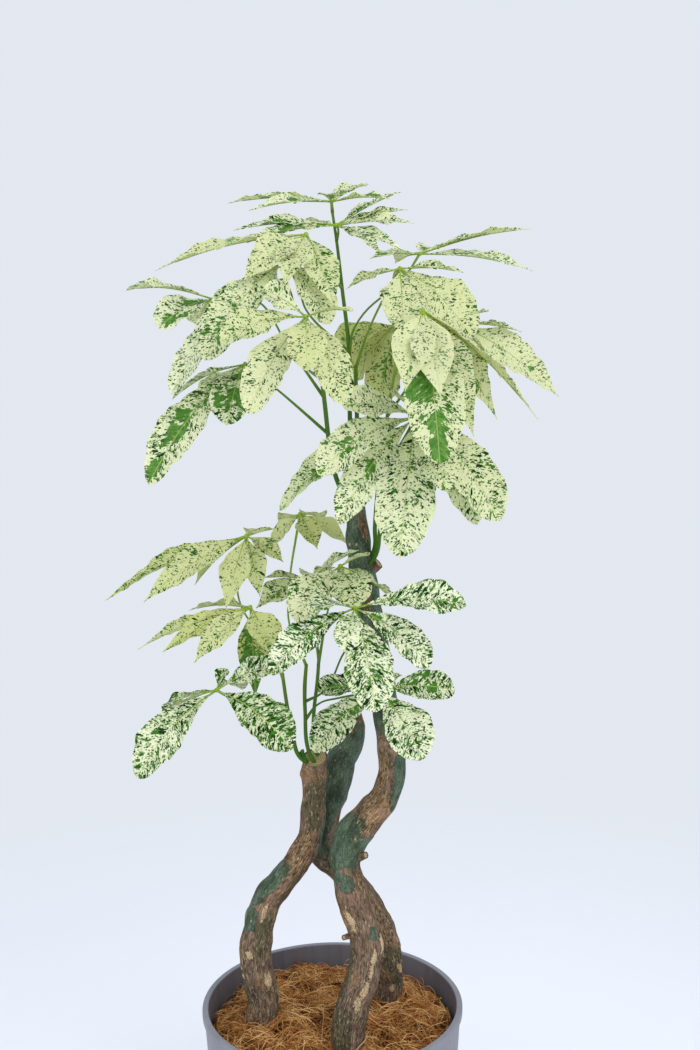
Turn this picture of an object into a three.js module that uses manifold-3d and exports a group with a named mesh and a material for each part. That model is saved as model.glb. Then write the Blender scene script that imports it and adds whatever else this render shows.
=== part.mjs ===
// Potted money tree: three cut trunks leaning round each other in a round pot, green shoots on the cuts,
// and palmate leaves of drooping, waved leaflets. Units are mm, +Z is up, and the viewer stands at -Y.
// The origin is the middle of the pot's underside.
import * as THREE from "three";
import { mergeVertices } from "three/addons/utils/BufferGeometryUtils.js";
import Module from "manifold-3d";

const wasm = await Module();
wasm.setup();

// Driving dimensions.
const RIM_RADIUS = 150;
const POT_HEIGHT = 265;
const WALL = 7;
const LIP_DEPTH = 11;
const BODY_STEP = 2;
const POT_TAPER = 0.056;
const POT_FLOOR = 8;
const POT_SIDES = 48;
const FOOT_CHAMFER = 3;
const RIM_CHAMFER = 2;
const LINING_CHAMFER = 1;
const SOIL_TOP = 222;
const MULCH_EDGE = 238;
const MULCH_CROWN = 250;
const MULCH_RADIUS = 135;
const MULCH_UNDERCUT = 4;
const MULCH_RINGS = 4;
const MULCH_SIDES = 22;
const LUMP = 2.2;
const LUMP_WAVES = [[1 / 13, 1 / 29], [-1 / 23, 1 / 11]];
const GAP = 0.3;
const TRUNK_SIDES = 12;
const TRUNK_STEPS = 21;
// Low ridges along a trunk: their height as a share of its radius, and two sets of them round it.
const RIDGES = 0.02;
const RIDGE_COUNTS = [3, 5];
const RIDGE_SHIFT = 1;
const SHOOT_SIDES = 6;
// A shoot has this many more rings than its route has points.
const SHOOT_MORE_STEPS = 2;
const STALK_SIDES = 5;
const STALK_STEPS = 5;
const BLADE = 1;
const HUB_RADIUS = 3.6;
const STALK_RADIUS = 1.5;
// Points closer than this are one point of a solid.
const MERGE_DISTANCE = 1e-4;

// Rows of a leaflet as [share of its length, share of its half width], between its foot and its tip.
const ROUND_ROWS = [[0.12, 0.1], [0.3, 0.48], [0.52, 0.91], [0.74, 0.97], [0.93, 0.58]];
const POINTED_ROWS = [[0.1, 0.11], [0.28, 0.65], [0.5, 1], [0.7, 0.73], [0.87, 0.28]];
const SMALL_ROWS = [[0.12, 0.12], [0.34, 0.7], [0.62, 1], [0.88, 0.66]];
const SMALL_LENGTH = 60;
const ROOT = 1.5;
const KNEE_OUT = 0.55;
const KNEE_UP = 0.5;
const ARCH = 0.16;
const POINTED_ARCH = 0.09;
// A leaflet as wide as this has a blunt tip, also in a leaf of pointed ones.
const BROAD_WIDTH = 50;
const FOLD = 0.3;
const WAVE = 0.16;
const WAVE_BY_ROW = 2.4;
const WAVE_BY_LEAFLET = 1.7;

const BARK = new THREE.MeshStandardMaterial({ color: 0x6d6b55, roughness: 0.85, metalness: 0 });
const GREEN = new THREE.MeshStandardMaterial({ color: 0x557f3c, roughness: 0.55, metalness: 0 });
const CREAM = new THREE.MeshStandardMaterial({ color: 0xd3dba2, roughness: 0.5, metalness: 0 });
const POT = new THREE.MeshStandardMaterial({ color: 0x9699a4, roughness: 0.6, metalness: 0 });
const COIR = new THREE.MeshStandardMaterial({ color: 0x9c6b3b, roughness: 0.95, metalness: 0 });
const SOIL = new THREE.MeshStandardMaterial({ color: 0x35271d, roughness: 1, metalness: 0 });

// Trunks as [x, y, z, radius] from the foot in the soil to the cut top.
const TRUNKS = {
  trunk_left: [
    [-84, 0, 168, 15], [-83, -2, 205, 18], [-82, -6, 245, 19], [-78, -10, 274, 18.5], [-83, -16, 302, 18.5],
    [-86, -20, 328, 18], [-85, -18, 351, 18], [-72, -13, 396, 16.5], [-54, -10, 419, 16],
    [-37, -6, 442, 15.5], [-24, -1, 466, 15], [-18, 0, 510, 14.5], [-16, 0, 561, 14],
  ],
  trunk_front: [
    [13, -62, 166, 15], [15, -64, 205, 18], [18, -65, 247, 19], [20, -62, 274, 19.5], [26, -60, 299, 19.5],
    [33, -56, 320, 18.5], [38, -52, 341, 18], [39, -49, 365, 17.5], [34, -45, 386, 18], [26, -40, 408, 19],
    [20, -36, 430, 17.5], [17, -35, 453, 17.5], [22, -34, 476, 19.5], [42, -30, 501, 18], [58, -25, 520, 16],
    [67, -20, 541, 15], [69, -18, 563, 15], [68, -15, 591, 15], [61, -10, 638, 14.5], [52, -5, 686, 15.5],
    [44, 0, 741, 15.5], [36, 0, 800, 12.5], [32, 0, 835, 11.5], [25, 0, 872, 12.5],
  ],
  trunk_back: [
    [68, 50, 168, 14], [68, 49, 205, 16], [67, 46, 246, 17], [67, 35, 281, 17], [64, 25, 316, 17],
    [55, 16, 352, 16.5], [40, 11, 385, 16], [24, 13, 408, 15.5], [4, 20, 424, 15], [-12, 28, 442, 15.5],
    [-6, 34, 473, 16], [2, 33, 498, 16.5], [8, 30, 523, 16.5], [14, 30, 547, 16], [22, 30, 566, 16],
    [25, 30, 588, 15], [24, 30, 615, 10],
  ],
};

// Knots, a broken twig and cut stubs, each a short taper [from, to, radius at from, radius at to].
const SCARS = {
  trunk_left: [
    [[-24, -5, 552], [-30, -8, 572], 2.6, 2.2],
    [[-26, 2, 552], [-34, 2, 566], 2.4, 2],
  ],
  trunk_front: [
    [[28, -38, 458], [40, -47, 464], 8, 5],
    [[24, -50, 371], [14, -60, 373], 4, 3],
    [[44, 0, 772], [57, -3, 783], 8, 6],
  ],
  trunk_back: [[[20, 20, 588], [18, 12, 592], 6, 4]],
};

// Green shoots: the cut or side of a trunk that each grows from, and its route as [x, y, z, radius].
const SHOOTS = {
  crown_shoot_left: {
    trunk: "trunk_front",
    route: [
      [18, -3, 862, 3.4], [11, -5, 880, 3.2], [5, -10, 914, 3.1],
      [1, -18, 955, 3], [-2, -25, 987, 2.8],
    ],
  },
  crown_shoot_tall: {
    trunk: "trunk_front",
    route: [
      [26, 0, 862, 3.4], [27, 4, 895, 3.2], [27, 5, 970, 3], [27, 5, 1012, 2.8], [20, 5, 1082, 2.4],
      [15, 5, 1129, 2], [11, 9, 1158, 1.8],
    ],
  },
  crown_shoot_back: {
    trunk: "trunk_front",
    route: [[32, 7, 864, 3.2], [35, 16, 916, 3.1], [34, 21, 972, 2.8], [34, 25, 996, 2.6]],
  },
  side_shoot_right: {
    trunk: "trunk_front",
    route: [
      [44, -1, 784, 3.2], [52, -4, 798, 3], [53, -8, 825, 2.8],
      [56, -10, 862, 2.7], [70, -15, 967, 2.4],
    ],
  },
  side_shoot_front: {
    trunk: "trunk_front",
    route: [
      [44, -7, 780, 3], [54, -14, 795, 2.8], [58, -22, 823, 2.6],
      [64, -45, 884, 2.4], [90, -79, 942, 2.2],
    ],
  },
  lower_shoot_left: {
    trunk: "trunk_left",
    route: [
      [-22, -4, 554, 3], [-34, -8, 566, 2.9], [-40, -9, 590, 2.8],
      [-45, -11, 620, 2.6], [-50, -18, 664, 2.4],
    ],
  },
  lower_shoot_middle: {
    trunk: "trunk_left",
    route: [
      [-15, -6, 554, 3], [-23, -8, 572, 2.8], [-26, -6, 616, 2.6],
      [-26, -4, 644, 2.8], [-24, 0, 669, 2.4],
    ],
  },
  lower_shoot_right: {
    trunk: "trunk_left",
    route: [
      [-11, 4, 554, 3], [-17, 6, 580, 2.8], [-17, 6, 606, 2.6],
      [-12, 5, 650, 2.5], [-10, 0, 675, 2.3],
    ],
  },
};

// Leaves: the hub where the leaflets meet, the leaf stalk's way to it from the shoot, and each leaflet as
// [x, y, z of its tip from the hub, width, degrees that its upper face turns from up to the viewer].
const LEAVES = {
  crown_leaf_1: {
    pointed: true,
    shoot: "crown_shoot_tall",
    stalk: [[11, 9, 1158], [10, 10, 1170]],
    leaflets: [
      [-110, 20, 0, 32, 0], [-85, -35, -10, 28, 15], [40, 60, 20, 30, 0], [-5, -50, 5, 22, 0],
      [25, 40, 15, 24, 0], [60, -45, 0, 24, 10],
    ],
  },
  crown_leaf_2: {
    pointed: true,
    shoot: "crown_shoot_tall",
    stalk: [[15, 5, 1129], [17, -4, 1140], [15, -12, 1145]],
    leaflets: [
      [70, 40, 35, 24, 0], [75, 10, 15, 24, 10], [80, -20, 0, 26, 25], [70, -40, -30, 22, 20],
      [45, -60, -30, 20, 20], [-105, -25, -5, 28, 15], [-90, -50, -18, 26, 30], [-45, 45, 0, 26, 0],
    ],
  },
  crown_leaf_3: {
    pointed: true,
    shoot: "crown_shoot_tall",
    stalk: [[20, 5, 1080], [0, -30, 1105], [-15, -70, 1135]],
    leaflets: [
      [-150, -25, -35, 38, 10], [28, -50, -72, 36, 40], [-60, -55, -45, 40, 42], [-40, 60, -30, 32, 0],
      [-20, -65, -50, 36, 40],
    ],
  },
  crown_leaf_4: {
    shoot: "crown_shoot_tall",
    stalk: [[27, 5, 1012], [-16, -38, 1057], [-23, -62, 1080], [-35, -85, 1110]],
    leaflets: [
      [43, -26, -63, 35, 42], [-78, -60, -95, 46, 45], [-115, -30, -130, 40, 25], [-45, 60, -60, 36, 0],
    ],
  },
  crown_leaf_5: {
    shoot: "crown_shoot_left",
    stalk: [[0, -20, 966], [-38, -2, 1020], [-74, -2, 1070], [-115, -10, 1070]],
    leaflets: [
      [-90, -10, 10, 34, 5], [-52, -50, -28, 42, 38], [-25, 75, -30, 36, 0], [30, 60, -45, 34, 0],
    ],
  },
  crown_leaf_6: {
    shoot: "crown_shoot_left",
    stalk: [[5, -10, 925], [-49, -38, 977], [-80, -60, 1005]],
    leaflets: [
      [-95, -60, -115, 44, 45], [-14, -70, -55, 44, 34], [-75, -5, -35, 28, 0], [-60, 60, -60, 36, 0],
      [10, 85, -40, 34, 0],
    ],
  },
  crown_leaf_7: {
    shoot: "crown_shoot_left",
    stalk: [[-2, -25, 985], [-18, -75, 1007], [-15, -120, 1055]],
    leaflets: [
      [-80, -50, -22, 36, 45], [-55, -50, -90, 42, 45], [2, -70, -48, 38, 28], [36, -50, -82, 38, 45],
      [45, -30, 5, 20, 0], [-42, -12, 26, 34, 48],
    ],
  },
  crown_leaf_8: {
    pointed: true,
    shoot: "crown_shoot_tall",
    stalk: [[27, 5, 1010], [33, 4, 1038], [90, 41, 1093], [105, 50, 1115]],
    leaflets: [
      [120, -10, 25, 32, 0], [120, -30, -20, 34, 12], [25, 70, 5, 30, 0], [-55, -30, -5, 26, 10],
      [-25, 60, -10, 26, 0],
    ],
  },
  crown_leaf_9: {
    pointed: true,
    shoot: "crown_shoot_back",
    stalk: [[34, 25, 994], [50, 0, 1040], [80, -40, 1100]],
    leaflets: [
      [-55, -20, -20, 26, 10], [2, -70, -74, 46, 32], [71, -45, -70, 52, 42], [65, -10, -5, 28, 10],
      [20, 80, -35, 34, 0],
    ],
  },
  crown_leaf_10: {
    pointed: true,
    shoot: "side_shoot_right",
    stalk: [[70, -15, 965], [75, -50, 994], [100, -110, 1060]],
    leaflets: [
      [-20, -60, -75, 44, 45], [14, -62, -82, 42, 50], [13, -65, -145, 58, 60], [48, -35, -122, 44, 52],
      [115, 0, -110, 34, 0], [75, 10, -110, 38, 40],
    ],
  },
  crown_leaf_11: {
    pointed: true,
    shoot: "side_shoot_right",
    stalk: [[67, -14, 945], [94, 5, 980], [120, 28, 1012], [145, 45, 1040]],
    leaflets: [
      [110, -20, -80, 46, 45], [70, -10, -10, 24, 0], [40, 60, 10, 30, 0], [55, 60, -65, 36, 0],
    ],
  },
  crown_leaf_12: {
    shoot: "side_shoot_right",
    stalk: [[70, -15, 963], [77, 5, 1003], [80, 35, 1040]],
    leaflets: [
      [-72, 5, -35, 42, 40], [-48, 20, -60, 42, 42], [-20, 28, -88, 44, 50], [50, 55, -50, 36, 0],
      [-10, 90, -40, 34, 0],
    ],
  },
  crown_leaf_13: {
    shoot: "side_shoot_front",
    stalk: [[88, -77, 938], [95, -85, 952]],
    leaflets: [
      [-75, -40, 15, 36, 50], [-25, -40, 25, 24, 30], [-100, -60, -50, 44, 48], [-80, -60, -100, 38, 50],
      [-140, -20, -92, 36, 25], [-20, -70, -132, 60, 60], [25, -80, -65, 42, 40], [80, -50, -100, 50, 55],
      [35, 70, -40, 36, 0], [60, -25, -108, 36, 50],
    ],
  },
  lower_leaf_1: {
    pointed: true,
    shoot: "lower_shoot_middle",
    stalk: [[-24, 0, 667], [-42, 10, 710], [-43, 20, 745], [-30, 45, 830]],
    leaflets: [
      [-34, -14, -36, 24, 20], [20, -50, -30, 30, 30], [55, -10, -35, 28, 20], [-20, 70, -30, 32, 0],
      [25, 65, -20, 30, 0],
    ],
  },
  lower_leaf_2: {
    pointed: true,
    shoot: "lower_shoot_left",
    stalk: [[-50, -18, 662], [-71, -20, 702], [-96, -24, 754], [-85, -30, 820]],
    leaflets: [
      [10, 35, 0, 20, 0], [30, 10, 5, 18, 0], [40, -20, -25, 24, 30], [15, -30, -60, 28, 40],
      [-20, -45, -70, 32, 40], [-150, -20, -65, 34, 15], [-105, -50, -60, 36, 40], [-60, 30, -60, 32, 0],
    ],
  },
  lower_leaf_3: {
    pointed: true,
    shoot: "lower_shoot_left",
    stalk: [[-49, -17, 656], [-60, -40, 700], [-80, -65, 750]],
    leaflets: [
      [-120, 0, -45, 30, 10], [-90, -30, -40, 30, 30], [-70, 50, -15, 30, 0], [-55, -55, -45, 30, 40],
      [30, -60, -40, 36, 30], [5, -25, -92, 32, 60],
    ],
  },
  lower_leaf_4: {
    pointed: true,
    shoot: "lower_shoot_right",
    stalk: [[-10, 0, 673], [-15, -6, 720], [-20, -20, 770]],
    leaflets: [
      [-55, -30, -25, 34, 30], [-50, 5, 0, 24, 0], [5, 65, -10, 26, 0], [55, -20, 35, 28, 10],
      [30, 10, 10, 24, 0],
    ],
  },
  lower_leaf_5: {
    shoot: "lower_shoot_right",
    stalk: [[-11, 2, 666], [0, -20, 730], [10, -42, 774], [15, -50, 790]],
    leaflets: [
      [30, -20, 15, 22, 0], [-45, -60, -45, 46, 38], [15, -60, -32, 44, 34], [55, 10, -40, 32, 0],
    ],
  },
  lower_leaf_6: {
    shoot: "lower_shoot_middle",
    stalk: [[-25, -6, 628], [-6, -18, 642], [18, -50, 695], [38, -95, 735], [30, -115, 760]],
    leaflets: [
      [-85, -50, -55, 37, 42], [-40, -50, 10, 34, 10], [-10, -60, -30, 28, 30], [20, -50, -95, 50, 60],
      [75, -30, -55, 36, 45], [110, -40, 10, 38, 40],
    ],
  },
  lower_leaf_7: {
    shoot: "lower_shoot_middle",
    stalk: [[-25, -7, 608], [-12, -16, 627], [12, -34, 640], [55, -45, 650]],
    leaflets: [
      [80, -30, 8, 36, 50], [45, -50, -60, 52, 50], [-65, -30, 10, 34, 30], [-70, -50, -50, 40, 45],
      [25, 10, 15, 18, 0],
    ],
  },
  lower_leaf_8: {
    shoot: "lower_shoot_left",
    stalk: [[-45, -11, 622], [-71, -45, 637], [-98, -75, 652], [-115, -100, 670]],
    leaflets: [
      [-80, -40, -80, 44, 45], [-50, -40, -8, 30, -25], [10, 10, 20, 20, 0], [65, -20, 30, 32, 38],
      [80, -60, -45, 48, 45], [-60, 65, -60, 36, 0], [20, 85, -25, 28, 0],
    ],
  },
};

// A solid from a geometry that is closed once its doubled vertices are merged.
function solidOf(geometry) {
  const bare = new THREE.BufferGeometry();
  const source = geometry.index ? geometry.toNonIndexed() : geometry;
  bare.setAttribute("position", source.getAttribute("position"));
  const merged = mergeVertices(bare, MERGE_DISTANCE);
  return new wasm.Manifold(
    new wasm.Mesh({
      numProp: 3,
      vertProperties: new Float32Array(merged.attributes.position.array),
      triVerts: new Uint32Array(merged.index.array),
    }),
  );
}

// A geometry from plain lists of points and of triangles.
function geometryOf(points, triangles) {
  const geometry = new THREE.BufferGeometry();
  geometry.setAttribute("position", new THREE.Float32BufferAttribute(points.flat(), 3));
  geometry.setIndex(triangles.flat());
  return geometry;
}

function meshOf(name, solid, material) {
  const data = solid.getMesh();
  const geometry = new THREE.BufferGeometry();
  geometry.setAttribute("position", new THREE.BufferAttribute(data.vertProperties, 3));
  geometry.setIndex(new THREE.BufferAttribute(data.triVerts, 1));
  const mesh = new THREE.Mesh(geometry, material);
  mesh.name = name;
  return mesh;
}

function unionOf(solids) {
  return solids.reduce((whole, solid) => whole.add(solid));
}

// A profile of [radius, height] points turned about the pot's axis.
function turned(profile, sides) {
  const points = profile.map(([radius, height]) => new THREE.Vector2(radius, height));
  return solidOf(new THREE.LatheGeometry(points, sides).rotateX(Math.PI / 2));
}

// A closed tapering tube along a smooth route of [x, y, z, radius] points: a thin one is extruded, then
// each of its rings is widened to the radius there. The ripple makes low ridges along it.
function tube(route, sides, steps, ripple = 0) {
  const path = new THREE.CatmullRomCurve3(route.map(([x, y, z]) => new THREE.Vector3(x, y, z)));
  const radii = new THREE.CatmullRomCurve3(route.map((point) => new THREE.Vector3(point[3], 0, 0)));
  const corners = [];
  for (let side = 0; side < sides; side += 1) {
    const turn = (2 * Math.PI * side) / sides;
    const ridges = Math.sin(RIDGE_COUNTS[0] * turn) + Math.sin(RIDGE_COUNTS[1] * turn + RIDGE_SHIFT);
    const reach = 1 + ripple * ridges;
    corners.push(new THREE.Vector2(reach * Math.cos(turn), reach * Math.sin(turn)));
  }
  const geometry = new THREE.ExtrudeGeometry(new THREE.Shape(corners), { steps, extrudePath: path });
  const centres = path.getSpacedPoints(steps);
  const place = geometry.getAttribute("position");
  const point = new THREE.Vector3();
  for (let vertex = 0; vertex < place.count; vertex += 1) {
    point.fromBufferAttribute(place, vertex);
    const distances = centres.map((centre) => centre.distanceTo(point));
    const ring = distances.indexOf(Math.min(...distances));
    const radius = radii.getPoint(path.getUtoTmapping(ring / steps)).x;
    point.sub(centres[ring]).multiplyScalar(radius).add(centres[ring]);
    place.setXYZ(vertex, point.x, point.y, point.z);
  }
  return solidOf(geometry);
}

// The hole that a tube stands in: GAP wider all round and GAP deeper at its foot.
function holeFor(route, sides, steps, ripple = 0) {
  const wider = route.map(([x, y, z, radius], place) => [x, y, place ? z : z - GAP, radius + GAP]);
  return tube(wider, sides, steps, ripple);
}

function ball(centre, radius) {
  return solidOf(new THREE.IcosahedronGeometry(radius, 0).translate(...centre));
}

// One leaflet: a thin blade arched along its midrib, raised at both edges and waved along them. Its two
// faces carry the same triangles, BLADE apart. Its foot starts a little way out, inside the hub.
function leaflet(hub, [x, y, z, width, turn], order, pointedLeaf) {
  const pointed = pointedLeaf && width < BROAD_WIDTH;
  const reach = new THREE.Vector3(x, y, z);
  const length = reach.length();
  const foot = new THREE.Vector3(...hub).addScaledVector(reach, ROOT / length);
  const arch = pointed ? POINTED_ARCH : ARCH;
  const bend = new THREE.Vector3(KNEE_OUT * x, KNEE_OUT * y, KNEE_UP * z + arch * length);
  const knee = foot.clone().add(bend);
  const tip = new THREE.Vector3(...hub).add(reach);
  const rib = new THREE.QuadraticBezierCurve3(foot, knee, tip);
  const facing = THREE.MathUtils.degToRad(turn);
  const face = new THREE.Vector3(0, -Math.sin(facing), Math.cos(facing));
  const side = new THREE.Vector3().crossVectors(reach, face).normalize();
  const longRows = pointed ? POINTED_ROWS : ROUND_ROWS;
  const rows = length < SMALL_LENGTH ? SMALL_ROWS : longRows;
  const upper = [];
  const lower = [];
  const put = (point, normal) => {
    upper.push(point.clone().addScaledVector(normal, BLADE / 2).toArray());
    lower.push(point.clone().addScaledVector(normal, -BLADE / 2).toArray());
  };
  const normalAt = (along) => new THREE.Vector3().crossVectors(side, rib.getTangent(along)).normalize();
  put(rib.getPoint(0), normalAt(0));
  rows.forEach(([along, share], row) => {
    const normal = normalAt(along);
    const half = (share * width) / 2;
    const middle = rib.getPoint(along);
    for (const hand of [-1, 0, 1]) {
      const phase = WAVE_BY_ROW * row + WAVE_BY_LEAFLET * order + hand;
      const swing = Math.sin(phase) * WAVE * half;
      const point = middle.clone().addScaledVector(side, hand * half);
      point.addScaledVector(normal, Math.abs(hand) * (FOLD * half + swing));
      put(point, normal);
    }
  });
  put(tip, normalAt(1));
  return solidOf(geometryOf([...upper, ...lower], bladeTriangles(rows.length)));
}

// The triangles of a blade with the given number of rows of three points between its two end points.
function bladeTriangles(rows) {
  const count = 3 * rows + 2;
  const end = count - 1;
  const faces = [[0, 2, 1], [0, 3, 2]];
  for (let row = 0; row < rows - 1; row += 1) {
    const near = 1 + 3 * row;
    const far = near + 3;
    faces.push([near, near + 1, far + 1], [near, far + 1, far]);
    faces.push([near + 1, near + 2, far + 1], [near + 2, far + 2, far + 1]);
  }
  faces.push([end - 3, end - 2, end], [end - 2, end - 1, end]);
  const edge = [0];
  for (let row = 0; row < rows; row += 1) edge.push(1 + 3 * row);
  edge.push(end);
  for (let row = rows - 1; row >= 0; row -= 1) edge.push(3 + 3 * row);
  const triangles = [];
  for (const [a, b, c] of faces) {
    triangles.push([a, b, c], [count + a, count + c, count + b]);
  }
  edge.forEach((here, place) => {
    const next = edge[(place + 1) % edge.length];
    triangles.push([here, next, count + next], [here, count + next, count + here]);
  });
  return triangles;
}

const group = new THREE.Group();
group.name = "potted_money_tree";

// Pot: a straight tapering wall under a slightly wider lip.
const innerRadius = (height) => RIM_RADIUS - WALL - (POT_HEIGHT - height) * POT_TAPER;
const outerRadius = (height) => RIM_RADIUS - BODY_STEP - (POT_HEIGHT - height) * POT_TAPER;
const lipFoot = POT_HEIGHT - LIP_DEPTH;
const pot = turned(
  [
    [0, 0], [outerRadius(0) - FOOT_CHAMFER, 0], [outerRadius(FOOT_CHAMFER), FOOT_CHAMFER],
    [outerRadius(lipFoot), lipFoot], [RIM_RADIUS, lipFoot + BODY_STEP],
    [RIM_RADIUS, POT_HEIGHT - RIM_CHAMFER], [RIM_RADIUS - RIM_CHAMFER, POT_HEIGHT],
    [innerRadius(POT_HEIGHT) + LINING_CHAMFER, POT_HEIGHT],
    [innerRadius(POT_HEIGHT), POT_HEIGHT - LINING_CHAMFER],
    [innerRadius(POT_FLOOR), POT_FLOOR], [0, POT_FLOOR],
  ],
  POT_SIDES,
);
group.add(meshOf("pot", pot, POT));

// Trunks, each with its scars, and the hole that each one's foot takes in the soil and the mulch.
const trunks = {};
const clearances = [];
for (const [name, route] of Object.entries(TRUNKS)) {
  const scars = SCARS[name].map(([from, to, wide, narrow]) =>
    tube([[...from, wide], [...to, narrow]], SHOOT_SIDES, 1),
  );
  trunks[name] = unionOf([tube(route, TRUNK_SIDES, TRUNK_STEPS, RIDGES), ...scars]);
  clearances.push(holeFor(route, TRUNK_SIDES, TRUNK_STEPS, RIDGES));
}

// Soil fills the pot up to the mulch, round the trunks' feet.
const soilBody = turned(
  [
    [0, POT_FLOOR + GAP], [innerRadius(POT_FLOOR) - GAP, POT_FLOOR + GAP],
    [innerRadius(SOIL_TOP) - GAP, SOIL_TOP], [0, SOIL_TOP],
  ],
  POT_SIDES,
);
const soil = clearances.reduce((body, hole) => body.subtract(hole), soilBody);
group.add(meshOf("potting_soil", soil, SOIL));

// Coir mulch: a loose domed mat on the soil, lumpy on top and short of the pot's wall.
const mulchFoot = SOIL_TOP + GAP;
const mulchProfile = [
  new THREE.Vector2(0, mulchFoot),
  new THREE.Vector2(MULCH_RADIUS - MULCH_UNDERCUT, mulchFoot),
];
for (let ring = MULCH_RINGS; ring >= 0; ring -= 1) {
  const share = ring / MULCH_RINGS;
  const height = MULCH_CROWN - (MULCH_CROWN - MULCH_EDGE) * share * share;
  mulchProfile.push(new THREE.Vector2(share * MULCH_RADIUS, height));
}
const mulchGeometry = new THREE.LatheGeometry(mulchProfile, MULCH_SIDES).rotateX(Math.PI / 2);
const mulchPlace = mulchGeometry.getAttribute("position");
for (let vertex = 0; vertex < mulchPlace.count; vertex += 1) {
  const x = mulchPlace.getX(vertex);
  const y = mulchPlace.getY(vertex);
  const z = mulchPlace.getZ(vertex);
  const waves = LUMP_WAVES.map(([along, over]) => LUMP * Math.sin(along * x + over * y));
  const isOnTop = z > (mulchFoot + MULCH_EDGE) / 2;
  if (isOnTop) mulchPlace.setZ(vertex, z + waves[0] + waves[1]);
}
const mulch = clearances.reduce((body, hole) => body.subtract(hole), solidOf(mulchGeometry));
group.add(meshOf("coir_mulch", mulch, COIR));

// Shoots with their leaf stalks, each stalk stopping GAP short of its leaf's hub, and the hole that each
// shoot's foot takes in its trunk.
for (const [name, { trunk, route }] of Object.entries(SHOOTS)) {
  const steps = route.length + SHOOT_MORE_STEPS;
  let shoot = tube(route, SHOOT_SIDES, steps);
  for (const { shoot: bearer, stalk } of Object.values(LEAVES)) {
    if (bearer !== name) continue;
    const hub = stalk[stalk.length - 1];
    const rounded = stalk.map((point) => [...point, STALK_RADIUS]);
    shoot = shoot.add(tube(rounded, STALK_SIDES, stalk.length > 2 ? STALK_STEPS : 1));
    shoot = shoot.subtract(ball(hub, HUB_RADIUS + GAP));
  }
  trunks[trunk] = trunks[trunk].subtract(holeFor(route, SHOOT_SIDES, steps));
  group.add(meshOf(name, shoot, GREEN));
}
for (const [name, solid] of Object.entries(trunks)) group.add(meshOf(name, solid, BARK));

// Leaves: all the leaflets of one leaf joined at their hub.
for (const [name, { stalk, leaflets, pointed = false }] of Object.entries(LEAVES)) {
  const hub = stalk[stalk.length - 1];
  const blades = leaflets.map((blade, order) => leaflet(hub, blade, order, pointed));
  group.add(meshOf(name, unionOf([ball(hub, HUB_RADIUS), ...blades]), CREAM));
}

export default group;
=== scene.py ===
import math

import bpy
import numpy as np
from mathutils import Matrix, Vector


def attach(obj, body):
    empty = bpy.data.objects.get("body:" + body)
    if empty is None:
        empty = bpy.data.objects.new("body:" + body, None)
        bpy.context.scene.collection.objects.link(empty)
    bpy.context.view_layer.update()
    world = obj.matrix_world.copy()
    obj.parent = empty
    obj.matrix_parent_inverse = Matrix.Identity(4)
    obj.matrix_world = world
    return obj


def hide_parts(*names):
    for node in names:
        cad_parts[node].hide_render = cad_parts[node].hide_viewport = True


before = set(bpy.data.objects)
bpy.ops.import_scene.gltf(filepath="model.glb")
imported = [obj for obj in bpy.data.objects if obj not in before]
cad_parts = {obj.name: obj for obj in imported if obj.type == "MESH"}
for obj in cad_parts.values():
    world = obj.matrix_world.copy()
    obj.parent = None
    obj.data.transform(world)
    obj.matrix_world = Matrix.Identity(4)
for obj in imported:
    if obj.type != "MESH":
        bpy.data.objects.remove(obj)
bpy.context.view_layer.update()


# ---------------------------------------------------------------------------------------------------
# Pot: one moulding of matt blue-grey plastic. Its straight wall tapers to the foot and stands under a
# lip that is a little wider, and the lip's top is a flat ring with rounded edges.
# ---------------------------------------------------------------------------------------------------
MM = 0.001
RIM_RADIUS = 150
WALL_RADIUS = 148
LINING_RADIUS = 143
POT_HEIGHT = 265
LIP_FOOT = 254
LIP_SLOPE = 2
POT_TAPER = 0.056
POT_FLOOR = 8
FOOT_CHAMFER = 2
FLOOR_RING = 20
EDGE_ROUNDING = 1.6
POT_SIDES = 144
EYE_GAMMA = 2.2


def outer_radius(height):
    return WALL_RADIUS - (POT_HEIGHT - height) * POT_TAPER


def inner_radius(height):
    return LINING_RADIUS - (POT_HEIGHT - height) * POT_TAPER


def drawn_up(name, profile, sides):
    """A round body drawn up ring by ring from a disc, through [radius, height] points in mm."""
    bpy.ops.object.select_all(action="DESELECT")
    radius, height = profile[0]
    bpy.ops.mesh.primitive_circle_add(
        vertices=sides, radius=radius * MM, fill_type="NGON", location=(0, 0, height * MM)
    )
    piece = bpy.context.object
    piece.name = name
    bpy.ops.object.transform_apply(location=True, rotation=False, scale=False)
    bpy.ops.object.mode_set(mode="EDIT")
    bpy.ops.mesh.select_all(action="SELECT")
    for next_radius, next_height in profile[1:]:
        rise = (next_height - height) * MM
        share = next_radius / radius
        bpy.ops.mesh.extrude_region_move(TRANSFORM_OT_translate={"value": (0, 0, rise)})
        bpy.ops.transform.resize(value=(share, share, 1), center_override=(0, 0, 0))
        radius, height = next_radius, next_height
    bpy.ops.mesh.select_all(action="SELECT")
    bpy.ops.mesh.normals_make_consistent(inside=False)
    bpy.ops.object.mode_set(mode="OBJECT")
    return piece


def alone(piece):
    """Selects a piece and nothing else, for the operators that work on the selection."""
    bpy.ops.object.select_all(action="DESELECT")
    piece.select_set(True)
    bpy.context.view_layer.objects.active = piece


def finished_by(piece, kind, **settings):
    """Adds a modifier to a piece and applies it."""
    alone(piece)
    modifier = piece.modifiers.new(kind, kind)
    for setting, value in settings.items():
        setattr(modifier, setting, value)
    bpy.ops.object.modifier_apply(modifier=modifier.name)


def smoothed(piece, angle=50):
    """Shades a piece smooth, apart from edges that turn by more than the angle in degrees."""
    alone(piece)
    bpy.ops.object.shade_smooth_by_angle(angle=math.radians(angle))


def stands_for(piece, slot, *nodes):
    """Joins a finished piece to the frame, in place of the nodes that it replaces."""
    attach(piece, "root")
    if nodes:
        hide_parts(*nodes)


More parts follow.
